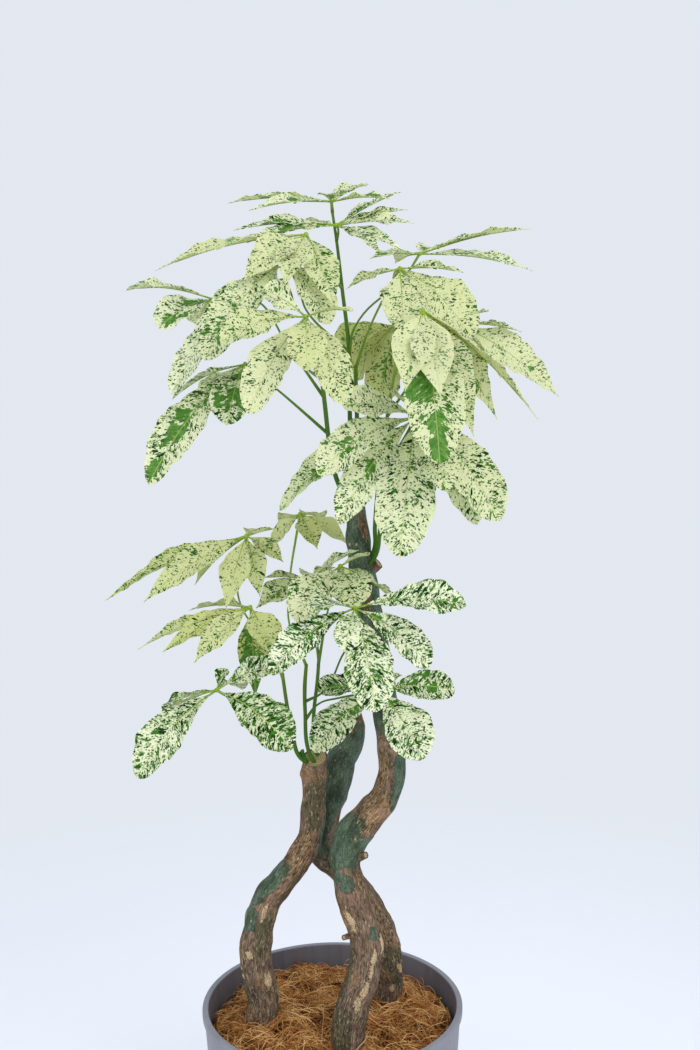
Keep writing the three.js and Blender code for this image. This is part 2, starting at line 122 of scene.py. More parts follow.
class Field:
    """A value that varies over a surface: an output of a shader node, which + - and * work on."""

    def __init__(self, tree, socket):
        self.tree = tree
        self.socket = socket

    def __add__(self, other):
        return maths("ADD", self, other)

    def __sub__(self, other):
        return maths("SUBTRACT", self, other)

    def __rsub__(self, other):
        return maths("SUBTRACT", other, self)

    def __mul__(self, other):
        return maths("MULTIPLY", self, other)


def add(tree, kind, inputs, output=0, **settings):
    """Adds one shader node, with plain values or fields on its inputs, and gives one of its outputs."""
    made = tree.nodes.new("ShaderNode" + kind)
    for setting, value in settings.items():
        setattr(made, setting, value)
    for place, value in inputs.items():
        if isinstance(value, Field):
            tree.links.new(value.socket, made.inputs[place])
        else:
            made.inputs[place].default_value = value
    return Field(tree, made.outputs[output])


def beside(field, output):
    """Another output of the node that a field comes from."""
    return Field(field.tree, field.socket.node.outputs[output])


def tree_of(values):
    """The node tree of the fields among some values."""
    return next(value.tree for value in values if isinstance(value, Field))


def maths(operation, *values, clamp=False):
    return add(tree_of(values), "Math", dict(enumerate(values)), operation=operation, use_clamp=clamp)


def vector_maths(operation, *values, output="Vector"):
    return add(tree_of(values), "VectorMath", dict(enumerate(values)), output, operation=operation)


def length_of(vector):
    return vector_maths("LENGTH", vector, output="Value")


def parts_of(vector):
    """The x, y and z of a vector or colour."""
    made = add(vector.tree, "SeparateXYZ", {"Vector": vector})
    return [beside(made, axis) for axis in "XYZ"]


def stepped(value, low, high):
    """0 below low and 1 above high, with a soft step between them."""
    ends = {"Value": value, "From Min": low, "From Max": high}
    return add(value.tree, "MapRange", ends, "Result", interpolation_type="SMOOTHSTEP")


def ranged(value, low, high):
    """A field from 0 to 1, brought between low and high."""
    return add(value.tree, "MapRange", {"Value": value, "To Min": low, "To Max": high}, "Result")


def colour(red, green, blue):
    """A shader colour from the red, green and blue that the eye sees, 0 to 255."""
    return tuple((part / 255) ** EYE_GAMMA for part in (red, green, blue)) + (1.0,)


def mixed(share, first, second, blend="MIX"):
    """A colour between two others, each a field or the (red, green, blue) that the eye sees."""
    tints = [tint if isinstance(tint, Field) else colour(*tint) for tint in (first, second)]
    ends = dict(zip((0, 6, 7), (share, *tints)))
    return add(tree_of(ends.values()), "Mix", ends, 2, data_type="RGBA", blend_type=blend)


def toned(value, low, high, first, second):
    """One colour where a field is below low, another where it is above high."""
    return mixed(stepped(value, low, high), first, second)


def layered(base, *layers):
    """Lays colours over a base one after another, each as far as its share says."""
    for share, tint in layers:
        base = mixed(share, base, tint)
    return base


def scaled(vector, by):
    """A pattern's place, stretched by the three factors."""
    return add(vector.tree, "Mapping", {"Vector": vector, "Scale": by}, "Vector")


def clouds(vector, scale, detail=2.0, roughness=0.5, distortion=0.0, output="Fac"):
    """Soft noise from 0 to 1, at one scale or at one for each direction."""
    if isinstance(scale, tuple):
        vector = scaled(vector, scale)
        scale = 1.0
    inputs = {
        "Vector": vector, "Scale": scale, "Detail": detail,
        "Roughness": roughness, "Distortion": distortion,
    }
    return add(vector.tree, "TexNoise", inputs, output)


def new_material(name):
    """A bare material, and its node tree without nodes."""
    material = bpy.data.materials.new(name)
    material.use_nodes = True
    material.node_tree.nodes.clear()
    return material, material.node_tree


def object_place(tree):
    """Where each point of a piece lies, in metres."""
    return add(tree, "TexCoord", {}, "Object")


def bumped(height, strength, distance):
    """Fine relief from a height field, whose full step stands out by the distance in metres."""
    inputs = {"Height": height, "Strength": strength, "Distance": distance}
    return add(height.tree, "Bump", inputs, "Normal")


def skin_of(tint, roughness, specular, relief=None):
    """The shader of a surface, from its colour, roughness, shine and fine relief."""
    inputs = {"Base Color": tint, "Roughness": roughness, "Specular IOR Level": specular}
    if relief:
        inputs["Normal"] = relief
    return add(tint.tree, "BsdfPrincipled", inputs, "BSDF")


def surface(shader):
    """Makes a shader the surface of its material."""
    output = shader.tree.nodes.new("ShaderNodeOutputMaterial")
    shader.tree.links.new(shader.socket, output.inputs["Surface"])


foot_radius = outer_radius(0)
floor_radius = inner_radius(POT_FLOOR)
pot_profile = [
    (foot_radius - FOOT_CHAMFER, 0), (foot_radius, FOOT_CHAMFER), (outer_radius(LIP_FOOT), LIP_FOOT),
    (RIM_RADIUS, LIP_FOOT + LIP_SLOPE), (RIM_RADIUS, POT_HEIGHT), (LINING_RADIUS, POT_HEIGHT),
    (floor_radius, POT_FLOOR), (floor_radius - FLOOR_RING, POT_FLOOR),
]
planter = drawn_up("planter", pot_profile, POT_SIDES)
finished_by(planter, "BEVEL", width=EDGE_ROUNDING * MM, segments=4, limit_method="ANGLE", angle_limit=0.6)
smoothed(planter)

pot_plastic, tree = new_material("pot_plastic")
place = object_place(tree)
mottle = clouds(place, 28.0, 4.0, 0.65)
streaks = clouds(place, (90.0, 90.0, 4.0), 5.0, 0.7)
grain = clouds(place, 1500.0)
wall_at = parts_of(place)[2] * POT_TAPER + inner_radius(0) * MM
inside = stepped(wall_at - length_of(scaled(place, (1, 1, 0))), -0.0015, 0.0005)
shell = toned(mottle, 0.3, 0.7, (121, 122, 130), (132, 133, 141))
shell = toned(streaks, 0.5, 0.8, shell, (113, 114, 122))
# The lining is painted much darker than the shell: painted shade on the inner wall, with its own streaks and
# blotches.
lining_in_shade = toned(streaks, 0.3, 0.75, (82, 80, 86), (98, 96, 101))
lining_in_shade = toned(mottle, 0.5, 0.75, lining_in_shade, (90, 84, 82))
plastic = mixed(inside, shell, lining_in_shade)
surface(skin_of(plastic, ranged(mottle, 0.42, 0.6), 0.4, bumped(grain, 0.12, 0.0004)))
planter.data.materials.append(pot_plastic)
stands_for(planter, "pot", "pot")


# ---------------------------------------------------------------------------------------------------
# Potting soil: dark crumbly compost that fills the pot to a little under the mulch. It shows only in
# the dark gap round the mulch's ragged edge.
# ---------------------------------------------------------------------------------------------------
SOIL_TOP = 222
SOIL_HEART = 118
SOIL_RING = 2.5
PIECE_GAP = 0.3


def smooth_noise(points, scale, seed):
    """Smooth noise from -1 to 1 at each row of points, as a sum of turned waves."""
    draw = np.random.default_rng(seed)
    total = np.zeros(len(points))
    waves = 14
    for _ in range(waves):
        way = draw.normal(size=points.shape[1])
        way /= np.linalg.norm(way)
        pitch = draw.uniform(0.6, 1.7) / scale
        total += np.sin(2 * math.pi * pitch * (points @ way) + draw.uniform(0, 2 * math.pi))
    return total / math.sqrt(waves)


def corners_of(piece):
    """The places of a mesh's vertices, in mm."""
    flat = np.zeros(len(piece.data.vertices) * 3)
    piece.data.vertices.foreach_get("co", flat)
    return flat.reshape(-1, 3) / MM


def put_corners(piece, corners):
    """Moves a mesh's vertices to these places, in mm."""
    piece.data.vertices.foreach_set("co", (corners * MM).ravel())
    piece.data.update()


def marked(piece, name, values):
    """Keeps a number, or three, for each vertex, as an attribute that the material reads."""
    values = np.asarray(values, dtype=float)
    kind, field = ("FLOAT_VECTOR", "vector") if values.ndim == 2 else ("FLOAT", "value")
    attribute = piece.data.attributes.new(name, kind, "POINT")
    attribute.data.foreach_set(field, values.ravel())


def read(tree, name, output="Fac"):
    """What marked() kept for a piece, as a field."""
    return add(tree, "Attribute", {}, output, attribute_name=name)


soil_edge = inner_radius(SOIL_TOP) - PIECE_GAP
soil_profile = [(floor_radius - PIECE_GAP, POT_FLOOR + PIECE_GAP), (soil_edge, SOIL_TOP - 2)]
soil_profile += [(radius, SOIL_TOP) for radius in np.arange(soil_edge - 1, SOIL_HEART, -SOIL_RING)]
compost = drawn_up("compost", soil_profile, 180)
corners = corners_of(compost)
topside = corners[:, 2] > SOIL_TOP - 1
crumbs = 1.4 * smooth_noise(corners[:, :2], 9, 3) + 0.8 * smooth_noise(corners[:, :2], 4, 4)
corners[:, 2] += np.where(topside, crumbs - 1, 0)
put_corners(compost, corners)
smoothed(compost, 60)

soil_crumbs, tree = new_material("soil_crumbs")
place = object_place(tree)
lumps = add(tree, "TexVoronoi", {"Vector": place, "Scale": 420.0}, "Distance")
dust = clouds(place, 900.0, 4.0, 0.7)
crumb = toned(lumps, 0.1, 0.7, (62, 48, 38), (33, 25, 20))
crumb = toned(dust, 0.6, 0.7, crumb, (96, 74, 56))
surface(skin_of(crumb, 0.95, 0.2, bumped(dust - lumps, 0.8, 0.0015)))
compost.data.materials.append(soil_crumbs)
stands_for(compost, "soil", "potting_soil")


# ---------------------------------------------------------------------------------------------------
# Coir mulch: a loose mat of curled coconut fibre laid on the soil round the trunks. A matted body lies
# under thousands of loose strands, with a ragged edge just short of the pot's wall.
# ---------------------------------------------------------------------------------------------------
MULCH_FOOT = 222.3
MULCH_EDGE = 238
MULCH_CROWN = 250
MULCH_RADIUS = 135
MAT_RING = 3.5
LUMP = 2.2
HEAP = 1.6
# How far strands reach from the pot's axis, and where the trunks stand, as [x, y, radius] in mm.
POT_REACH = 139
TRUNK_FEET = [(-82, -6, 19), (18, -65, 19), (67, 46, 17)]
STRAND_LENGTH = (22, 70)
STRAND_CURL = 1.5
STRAND_WOBBLE = 0.45
STRAND_SINK = 1.2
# How thick a strand is at each of its knots, as a share of its middle.
STRAND_TAPER = np.array([0.35, 0.9, 1, 1, 1, 0.9, 0.35])


def mulch_height(x, y):
    """How high the mulch's top lies at a place, with its lumps."""
    share = np.clip(np.hypot(x, y) / MULCH_RADIUS, 0, 1)
    lump = LUMP * (np.sin(x / 13 + y / 29) + np.sin(y / 11 - x / 23))
    heap = HEAP * smooth_noise(np.column_stack([x, y]), 34, 8)
    return MULCH_CROWN - (MULCH_CROWN - MULCH_EDGE) * share**2 + lump + heap


mat_profile = [(MULCH_RADIUS - 4, MULCH_FOOT), (MULCH_RADIUS, MULCH_EDGE - 5)]
mat_profile += [(radius, MULCH_EDGE) for radius in np.arange(MULCH_RADIUS - 2, 2, -MAT_RING)]
coir_mat = drawn_up("coir_mat", mat_profile, 150)
corners = corners_of(coir_mat)
x, y, z = corners.T
topside = z > MULCH_EDGE - 1
tuft = 1.3 * smooth_noise(corners[:, :2], 8, 5) + 0.8 * smooth_noise(corners[:, :2], 4, 6)
corners[:, 2] = np.where(topside, mulch_height(x, y) + tuft - 2, z)
ragged = 1 + 0.018 * smooth_noise(corners[:, :2], 15, 7) * (np.hypot(x, y) > 120)
corners[:, :2] *= ragged[:, None]
put_corners(coir_mat, corners)
smoothed(coir_mat, 80)


def strands(name, count, thickness, lift, tones_with_layer_shade, seed):
    """Loose curled fibres that lie on the mulch, each a thin three-sided tube that tapers at its ends."""
    draw = np.random.default_rng(seed)
    each = (count, 1)
    knots = len(STRAND_TAPER)
    share = np.linspace(0, 1, knots)
    radius = (MULCH_RADIUS + 1) * np.sqrt(draw.random(each))
    round_pot = draw.uniform(0, 2 * math.pi, each)
    length = draw.uniform(*STRAND_LENGTH, each)
    heading = draw.uniform(0, 2 * math.pi, each)
    curl = draw.normal(0, STRAND_CURL, each)
    wobble = draw.normal(0, STRAND_WOBBLE, (count, knots))
    way = heading + curl * (share - 0.5) + np.cumsum(wobble, axis=1) / 2
    stride = length / (knots - 1)
    x = radius * np.cos(round_pot) + np.cumsum(np.cos(way) * stride, axis=1)
    y = radius * np.sin(round_pot) + np.cumsum(np.sin(way) * stride, axis=1)
    x -= np.cos(heading) * length / 2
    y -= np.sin(heading) * length / 2
    inward = np.minimum(1, (POT_REACH + draw.uniform(-7, 0, each)) / np.hypot(x, y))
    x *= inward
    y *= inward
    for centre_x, centre_y, girth in TRUNK_FEET:
        away = np.hypot(x - centre_x, y - centre_y)
        push = np.maximum(1, (girth + 1) / np.maximum(away, 0.1))
        x = centre_x + (x - centre_x) * push
        y = centre_y + (y - centre_y) * push
    rise = draw.gamma(1.6, lift / 1.6, each) * np.sin(math.pi * share)
    z = mulch_height(x.ravel(), y.ravel()).reshape(x.shape) + rise - STRAND_SINK
    z += draw.normal(0, 0.8, z.shape)
    centres = np.stack([x, y, z], axis=-1)
    ahead = np.gradient(centres, axis=1)
    ahead /= np.linalg.norm(ahead, axis=-1, keepdims=True)
    across = np.cross(ahead, [0.0, 0.0, 1.0])
    across /= np.linalg.norm(across, axis=-1, keepdims=True)
    upright = np.cross(across, ahead)
    girth = draw.uniform(*thickness, each) / 2 * STRAND_TAPER
    ring = []
    for turn in (math.pi / 2, math.pi * 7 / 6, math.pi * 11 / 6):
        offset = across * math.cos(turn) + upright * math.sin(turn)
        ring.append(centres + offset * girth[..., None])
    corners = np.stack(ring, axis=2).reshape(-1, 3)
    first = np.arange(count)[:, None] * knots * 3
    faces = []
    for knot in range(knots - 1):
        for side in range(3):
            here = knot * 3 + side
            there = knot * 3 + (side + 1) % 3
            faces += (first + [here, there, there + 3, here + 3]).tolist()
    last = knots * 3 - 1
    for end in ([0, 2, 1], [last - 2, last - 1, last]):
        faces += (first + end).tolist()
    mesh = bpy.data.meshes.new(name)
    mesh.from_pydata((corners * MM).tolist(), [], faces)
    piece = bpy.data.objects.new(name, mesh)
    bpy.context.scene.collection.objects.link(piece)
    marked(piece, "tone", np.repeat(draw.uniform(*tones_with_layer_shade, count), knots * 3))
    smoothed(piece, 180)
    return piece


# The under strands take darker tones as painted shade and the over and stray strands lighter ones as painted
# light, each with its own random tone inside its layer's range.
under_strands = strands("coir_strands_under", 3200, (0.6, 1.1), 1.5, (0.0, 0.6), 21)
over_strands = strands("coir_strands_over", 2400, (0.5, 0.95), 4.5, (0.35, 1.1), 22)
stray_strands = strands("coir_strands_stray", 260, (0.45, 0.7), 8, (0.5, 1), 23)

coir_fibre, tree = new_material("coir_fibre")
place = object_place(tree)
patchy = clouds(place, 45.0)
fleck = clouds(place, 700.0, 3.0, 0.6)
# Strand colour goes from dark to pale with each strand's tone, so it carries the painted shade of the lower
# strands and the painted light of the upper ones, with random patches and flecks.
depth = patchy * 1.5 + (fleck * 0.3 + read(tree, "tone"))
strand = toned(depth, 0.9, 1.5, (70, 38, 13), (182, 122, 66))
strand = toned(depth, 1.5, 2.0, strand, (244, 198, 134))
surface(skin_of(strand, 0.7, 0.15))

# The felt under the strands is painted nearly black-brown: painted shade for the shadow under and between the
# loose strands, laid over the coir's own brown weave.
coir_felt_in_shade, tree = new_material("coir_felt_in_shade")
place = object_place(tree)
bent = vector_maths("MULTIPLY_ADD", place, clouds(place, 60.0, output="Color"), (0.03, 0.03, 0.03))
threads = clouds(bent, (700.0, 60.0, 200.0))
crossing = clouds(bent, (60.0, 700.0, 200.0))
weft = maths("MAXIMUM", threads, crossing)
felt_in_shade = toned(weft, 0.5, 0.75, (28, 14, 4), (98, 56, 22))
surface(skin_of(felt_in_shade, 0.95, 0.1, bumped(weft, 1.0, 0.003)))

coir_mat.data.materials.append(coir_felt_in_shade)
stands_for(coir_mat, "coir", "coir_mulch")
for layer in (under_strands, over_strands, stray_strands):
    layer.data.materials.append(coir_fibre)
    stands_for(layer, "coir")


# ---------------------------------------------------------------------------------------------------
# Trunks: three cut stems of live wood that lean round each other. Smooth blue-green bark is left in
# patches, the rest is bare grey-brown with cracks low down, and knots and a cut top scar each one.
# ---------------------------------------------------------------------------------------------------
# Routes are [x, y, z, radius] in mm, and scars are cut stubs as [start, end, radius, radius at the end].
# Patches of green, bare, dusky, fibrous and pale bark are [height, degrees round from the front, half
# height, half width in degrees]. Knots are [height, degrees, size, how far they stand out]. A collar of
# callus is [height, half height, how far it stands out], and a slant is how far the cut rises for each
# mm along x and y.
TRUNKS = {
    "trunk_left": {
        "route": [
            [-84, 0, 168, 15], [-83, -2, 205, 18], [-82, -6, 245, 19], [-78, -10, 274, 18.5],
            [-83, -16, 302, 18.5], [-86, -20, 328, 18], [-85, -18, 351, 18], [-72, -13, 396, 16.5],
            [-54, -10, 419, 16], [-37, -6, 442, 15.5], [-24, -1, 466, 15], [-18, 0, 510, 14.5],
            [-16, 0, 561, 14],
        ],
        "green": [
            [420, -55, 27, 54], [380, -48, 15, 40], [472, 66, 24, 18], [330, 165, 34, 42], [450, 180, 52, 58],
        ],
        "bare": [[396, 18, 6, 60]],
        "dusky": [[512, 25, 34, 72], [500, 120, 40, 50], [362, 20, 26, 30], [290, -70, 40, 30]],
        "fibrous": [[448, -20, 34, 52], [370, 50, 24, 30], [330, -60, 16, 30], [520, -120, 30, 50]],
        "pale": [
            [388, 2, 13, 8], [341, -22, 5, 16], [322, -62, 4, 9], [312, -58, 4, 8], [308, 40, 14, 14],
            [286, 74, 14, 8], [350, 150, 9, 12], [300, -150, 8, 14], [430, 100, 4, 14],
        ],
        "knots": [
            [309, 26, 12, 2.4], [262, -50, 9, 1.2], [548, -50, 9, 2], [278, 150, 10, 2.6], [500, 60, 7, 1],
        ],
        "collar": [542, 5, 1.0],
        "slant": [0.12, 0.4],
        "scars": [
            [[-24, -5, 552], [-30, -8, 572], 2.6, 2.2],
            [[-26, 2, 552], [-34, 2, 566], 2.4, 2],
        ],
    },
    "trunk_front": {
        "route": [
            [13, -62, 166, 15], [15, -64, 205, 18], [18, -65, 247, 19], [20, -62, 274, 19.5],
            [26, -60, 299, 19.5], [33, -56, 320, 18.5], [38, -52, 341, 18], [39, -49, 365, 17.5],
            [34, -45, 386, 18], [26, -40, 408, 19], [20, -36, 430, 17.5], [17, -35, 453, 17.5],
            [22, -34, 476, 19.5], [42, -30, 501, 18], [58, -25, 520, 16], [67, -20, 541, 15],
            [69, -18, 563, 15], [68, -15, 591, 15], [61, -10, 638, 14.5], [52, -5, 686, 15.5],
            [44, 0, 741, 15.5], [36, 0, 800, 12.5], [32, 0, 835, 11.5], [25, 0, 872, 12.5],
        ],
        "green": [
            [478, -50, 34, 60], [468, 20, 18, 80], [434, -18, 12, 40], [378, 34, 8, 19], [558, 68, 50, 60],
            [730, 0, 145, 600], [470, 170, 60, 50], [390, 160, 30, 40],
        ],
        "bare": [
            [826, 35, 16, 28], [748, -6, 17, 22], [560, -42, 36, 34], [700, 150, 30, 35],
            [640, -100, 26, 30], [790, -130, 20, 30], [852, 160, 15, 40], [610, 120, 22, 30],
        ],
        "dusky": [[448, 0, 6, 70], [330, -80, 40, 30], [264, -40, 34, 46], [560, 150, 40, 50]],
        "fibrous": [
            [508, 5, 26, 44], [560, -42, 40, 30], [394, -40, 18, 34], [450, -80, 12, 24],
            [400, 110, 30, 40], [430, 52, 22, 10],
        ],
        "pale": [
            [352, 32, 9, 13], [336, 24, 10, 12], [318, 16, 10, 12], [303, 6, 8, 12], [392, -32, 12, 14],
            [362, 74, 10, 12], [296, -120, 12, 14], [420, 150, 9, 12], [524, 60, 5, 12],
        ],
        "knots": [
            [308, 14, 8, 1.8], [392, -62, 9, 1.4], [330, -30, 7, 1], [512, 30, 12, 1.6], [350, 120, 10, 2.4],
            [280, 170, 12, 2.4], [660, 20, 6, 1.2], [600, -140, 8, 2],
        ],
        "scars": [
            [[28, -38, 458], [40, -47, 464], 6.5, 3.8],
            [[24, -50, 371], [14, -60, 373], 4, 3],
            [[44, 0, 772], [57, -3, 783], 8, 6],
        ],
    },
    "trunk_back": {
        "route": [
            [68, 50, 168, 14], [68, 49, 205, 16], [67, 46, 246, 17], [67, 35, 281, 17], [64, 25, 316, 17],
            [55, 16, 352, 16.5], [40, 11, 385, 16], [24, 13, 408, 15.5], [4, 20, 424, 15],
            [-12, 28, 442, 15.5], [-6, 34, 473, 16], [2, 33, 498, 16.5], [8, 30, 523, 16.5],
            [14, 30, 547, 16], [22, 30, 566, 16], [25, 30, 588, 15], [24, 30, 615, 10],
        ],
        "green": [[515, 0, 78, 600], [340, 120, 26, 36]],
        "bare": [[468, 76, 28, 50], [612, 0, 18, 600], [540, 170, 25, 40]],
        "dusky": [[430, 0, 22, 60], [300, 30, 30, 60]],
        "fibrous": [[360, 10, 30, 50], [604, 0, 20, 600], [330, -120, 30, 50]],
        "pale": [[296, 50, 8, 14], [320, -20, 7, 12], [270, 10, 6, 12], [380, 140, 9, 14], [540, 22, 4, 5]],
        "knots": [[290, -20, 8, 2], [330, 60, 8, 2.4], [545, 30, 5, 1.2], [400, 150, 9, 2.4]],
        "scars": [[[20, 20, 588], [18, 12, 592], 6, 4]],
    },
}
TRUNK_SIDES = 48
STUB_SIDES = 24
TRUNK_SEED = 40
STUB_SEED = 70
BARK_RIM = 1.5
TRUNK_RIDGES = 0.02
BARK_STEP = 0.45
PALE_STEP = 0.7
OLD_BARK_TOP = 430
OLD_BARK_FADE = 130
END_FADE = 3
CUT_REACH = 14
CUT_FACING = 0.75
WOOD_SLOT = 1
# The steps of a sawn face inside its rim: how far it moves out in mm, and how far in the next step lies, as
# a share of the stem's radius.
CUT_STEPS = ((-0.9, 0.2), (0.5, 0.3), (-0.2, 0.3))


def swept(name, route, between, corners_round):
    """A round stem laid along a smooth curve, and the middle of each of its rings in mm."""
    bpy.ops.object.select_all(action="DESELECT")
    bpy.ops.curve.primitive_bezier_curve_add()
    piece = bpy.context.object
    piece.name = name
    curve = piece.data
    curve.resolution_u = between
    spline = curve.splines[0]
    spline.bezier_points.add(len(route) - 2)
    for point, (x, y, z, radius) in zip(spline.bezier_points, route):
        point.co = (x * MM, y * MM, z * MM)
        point.radius = radius
        point.handle_left_type = "AUTO"
        point.handle_right_type = "AUTO"
    bpy.context.view_layer.update()
    spine = piece.to_mesh()
    middles = np.array([vertex.co[:] for vertex in spine.vertices]) / MM
    piece.to_mesh_clear()
    curve.bevel_depth = MM
    curve.bevel_resolution = (corners_round - 4) // 2
    curve.use_fill_caps = True
    bpy.ops.object.convert(target="MESH")
    piece = bpy.context.object
    bpy.ops.object.mode_set(mode="EDIT")
    bpy.ops.mesh.select_all(action="SELECT")
    bpy.ops.mesh.remove_doubles(threshold=0.01 * MM)
    bpy.ops.mesh.normals_make_consistent(inside=False)
    bpy.ops.object.mode_set(mode="OBJECT")
    return piece, middles


def nearest(corners, middles):
    """For each corner, the number of the stem's ring that it belongs to."""
    found = []
    for block in np.array_split(corners, max(1, len(corners) // 2000)):
        found.append(((block[:, None, :] - middles[None]) ** 2).sum(-1).argmin(1))
    return np.concatenate(found)


def run_to(middles, ring):
    """How far along the stem the rings with these numbers lie, in mm."""
    steps = np.linalg.norm(np.diff(middles, axis=0), axis=1)
    return np.concatenate([[0], np.cumsum(steps)])[ring]


def round_from(degrees, way):
    """How many degrees lie between two directions, from -180 to 180."""
    return (degrees - way + 180) % 360 - 180


def patch_field(height, degrees, patches):
    """How far inside the nearest patch each place lies: 1 at its middle, 0 on its edge."""
    field = np.full(len(height), -2.0)
    for middle, way, half_height, half_width in patches:
        out = np.hypot((height - middle) / half_height, round_from(degrees, way) / half_width)
        field = np.maximum(field, 1 - out)
    return field


def joined(pieces):
    """Joins pieces into the first of them."""
    bpy.ops.object.select_all(action="DESELECT")
    for piece in pieces:
        piece.select_set(True)
    bpy.context.view_layer.objects.active = pieces[0]
    if len(pieces) > 1:
        bpy.ops.object.join()
    return bpy.context.object


def bark_on(piece, middles, trunk, seed):
    """Gives a swept stem its ridges, knots and cracks, and marks its bark for the material."""
    corners = corners_of(piece)
    ring = nearest(corners, middles)
    run = run_to(middles, ring)
    out = corners - middles[ring]
    girth = np.linalg.norm(out, axis=1)
    out /= np.maximum(girth, 0.01)[:, None]
    turn = np.arctan2(out[:, 0], -out[:, 1])
    degrees = np.degrees(turn)
    height = corners[:, 2]
    straight = np.column_stack([girth * np.sin(turn), -girth * np.cos(turn), run])
    green = patch_field(height, degrees, trunk["green"])
    green = np.minimum(green, -patch_field(height, degrees, trunk["bare"]))
    old = np.clip((OLD_BARK_TOP - height) / OLD_BARK_FADE, 0, 1)
    lift = girth * TRUNK_RIDGES * (np.sin(3 * turn) + np.sin(5 * turn + 1))
    lift += 0.9 * smooth_noise(straight * [1, 1, 0.6], 26, seed)
    lift += 0.35 * smooth_noise(straight * [1, 1, 0.35], 9, seed + 1)
    cracks = np.abs(smooth_noise(straight * [1, 1, 0.16], 5.5, seed + 2))
    lift -= (0.25 + 0.55 * old) * np.exp(-((cracks / 0.25) ** 2)) * (green < 0)
    lift += BARK_STEP * np.clip(green * 12, -1, 1)
    zones = [patch_field(height, degrees, trunk.get(kind, [])) for kind in ("dusky", "fibrous", "pale")]
    lift += PALE_STEP * np.clip(zones[2] * 3, 0, 1)
    scarred = np.zeros(len(corners))
    for middle, way, size, stands in trunk["knots"]:
        round_by = np.radians(round_from(degrees, way)) * girth
        off = np.hypot(round_by, height - middle) / size
        lift += stands * np.exp(-((off - 0.55) ** 2) * 7) - 0.5 * stands * np.exp(-((off * 2.4) ** 2))
        scarred = np.maximum(scarred, np.exp(-((off - 0.6) ** 2) * 6))
    if "collar" in trunk:
        middle, size, stands = trunk["collar"]
        band = np.exp(-(((height - middle) / size) ** 2))
        lift += stands * band * (1 + 0.7 * smooth_noise(straight, 3.5, seed + 3))
        scarred = np.maximum(scarred, band)
    to_top = run.max() - run
    lift *= np.clip(np.minimum(run, to_top) / END_FADE, 0, 1)
    from_middle = out * (girth + lift)[:, None]
    near_cut = np.clip(1 - to_top / CUT_REACH, 0, 1)
    from_middle[:, 2] += near_cut * (from_middle[:, :2] @ trunk.get("slant", [0, 0]))
    put_corners(piece, middles[ring] + from_middle)
    marked(piece, "straight", straight)
    marked(piece, "green_bark", green)
    marked(piece, "old_bark", old)
    marked(piece, "scar", scarred)
    marked(piece, "zones", np.column_stack(zones))
    marked(piece, "sprout", np.full(len(corners), trunk.get("sprout", 0.0)))


def cut_across(piece, at, along, reach, rim):
    """Dresses the end face of a stem as a sawn cut: a rim of bark, and end grain a little below it."""
    alone(piece)
    outward = along.normalized()
    for polygon in piece.data.polygons:
        close = (polygon.center - Vector(at) * MM).length < CUT_REACH * MM
        polygon.select = close and polygon.normal.dot(outward) > CUT_FACING
    bpy.context.tool_settings.mesh_select_mode = (False, False, True)
    bpy.ops.object.mode_set(mode="EDIT")
    bpy.ops.mesh.inset(thickness=rim * MM)
    bpy.context.object.active_material_index = WOOD_SLOT
    bpy.ops.object.material_slot_assign()
    for sink, share in CUT_STEPS:
        bpy.ops.transform.translate(value=outward * sink * MM)
        bpy.ops.mesh.inset(thickness=share * reach * MM)
    bpy.ops.object.mode_set(mode="OBJECT")
    marked(piece, "from_pith", corners_of(piece) - at)


def flecks(at, size, share, shake):
    """Angular cells of a stretched pattern, picked at random by share, and each one's own tone."""
    place = scaled(at, size)
    jitter = vector_maths("SUBTRACT", clouds(place, 1.6, output="Color"), (0.5, 0.5, 0.5))
    bent = vector_maths("MULTIPLY_ADD", jitter, (shake, shake, shake / 3), place)
    chosen, tone, _ = parts_of(add(at.tree, "TexVoronoi", {"Vector": bent, "Scale": 1.0}, "Color"))
    return stepped(share - chosen, -0.02, 0.02), tone


trunk_bark, tree = new_material("trunk_bark")
straight = read(tree, "straight", "Vector")
old = read(tree, "old_bark")
dusky_at, fibrous_at, pale_at = parts_of(read(tree, "zones", "Vector"))
ragged = clouds(straight, (0.2, 0.2, 0.13), 6.0, 0.68)
grit = clouds(straight, (0.9, 0.9, 0.7), 4.0, 0.75)
broad = clouds(straight, (0.07, 0.07, 0.035), 3.0, 0.6)
pinkish = clouds(straight, (0.078, 0.078, 0.039), 3.0)
fibre = clouds(straight, (1.15, 1.15, 0.17), 5.0, 0.72, 0.4)
long_grain = clouds(straight, (0.36, 0.36, 0.05), 5.0, 0.7, 0.7)
crack = 1.0 - stepped(maths("ABSOLUTE", long_grain - 0.5), 0.006, 0.03)
pale_bits, pale_tone = flecks(straight, (0.7, 0.7, 0.3), 0.09, 1.1)
dark_bits, dark_tone = flecks(straight, (0.75, 0.75, 0.22), 0.2, 1.1)


def zone(field, reach, low, high):
    """Where a patch of bark lies, with a ragged edge."""
    return stepped(ragged * reach + (field - reach / 2), low, high)


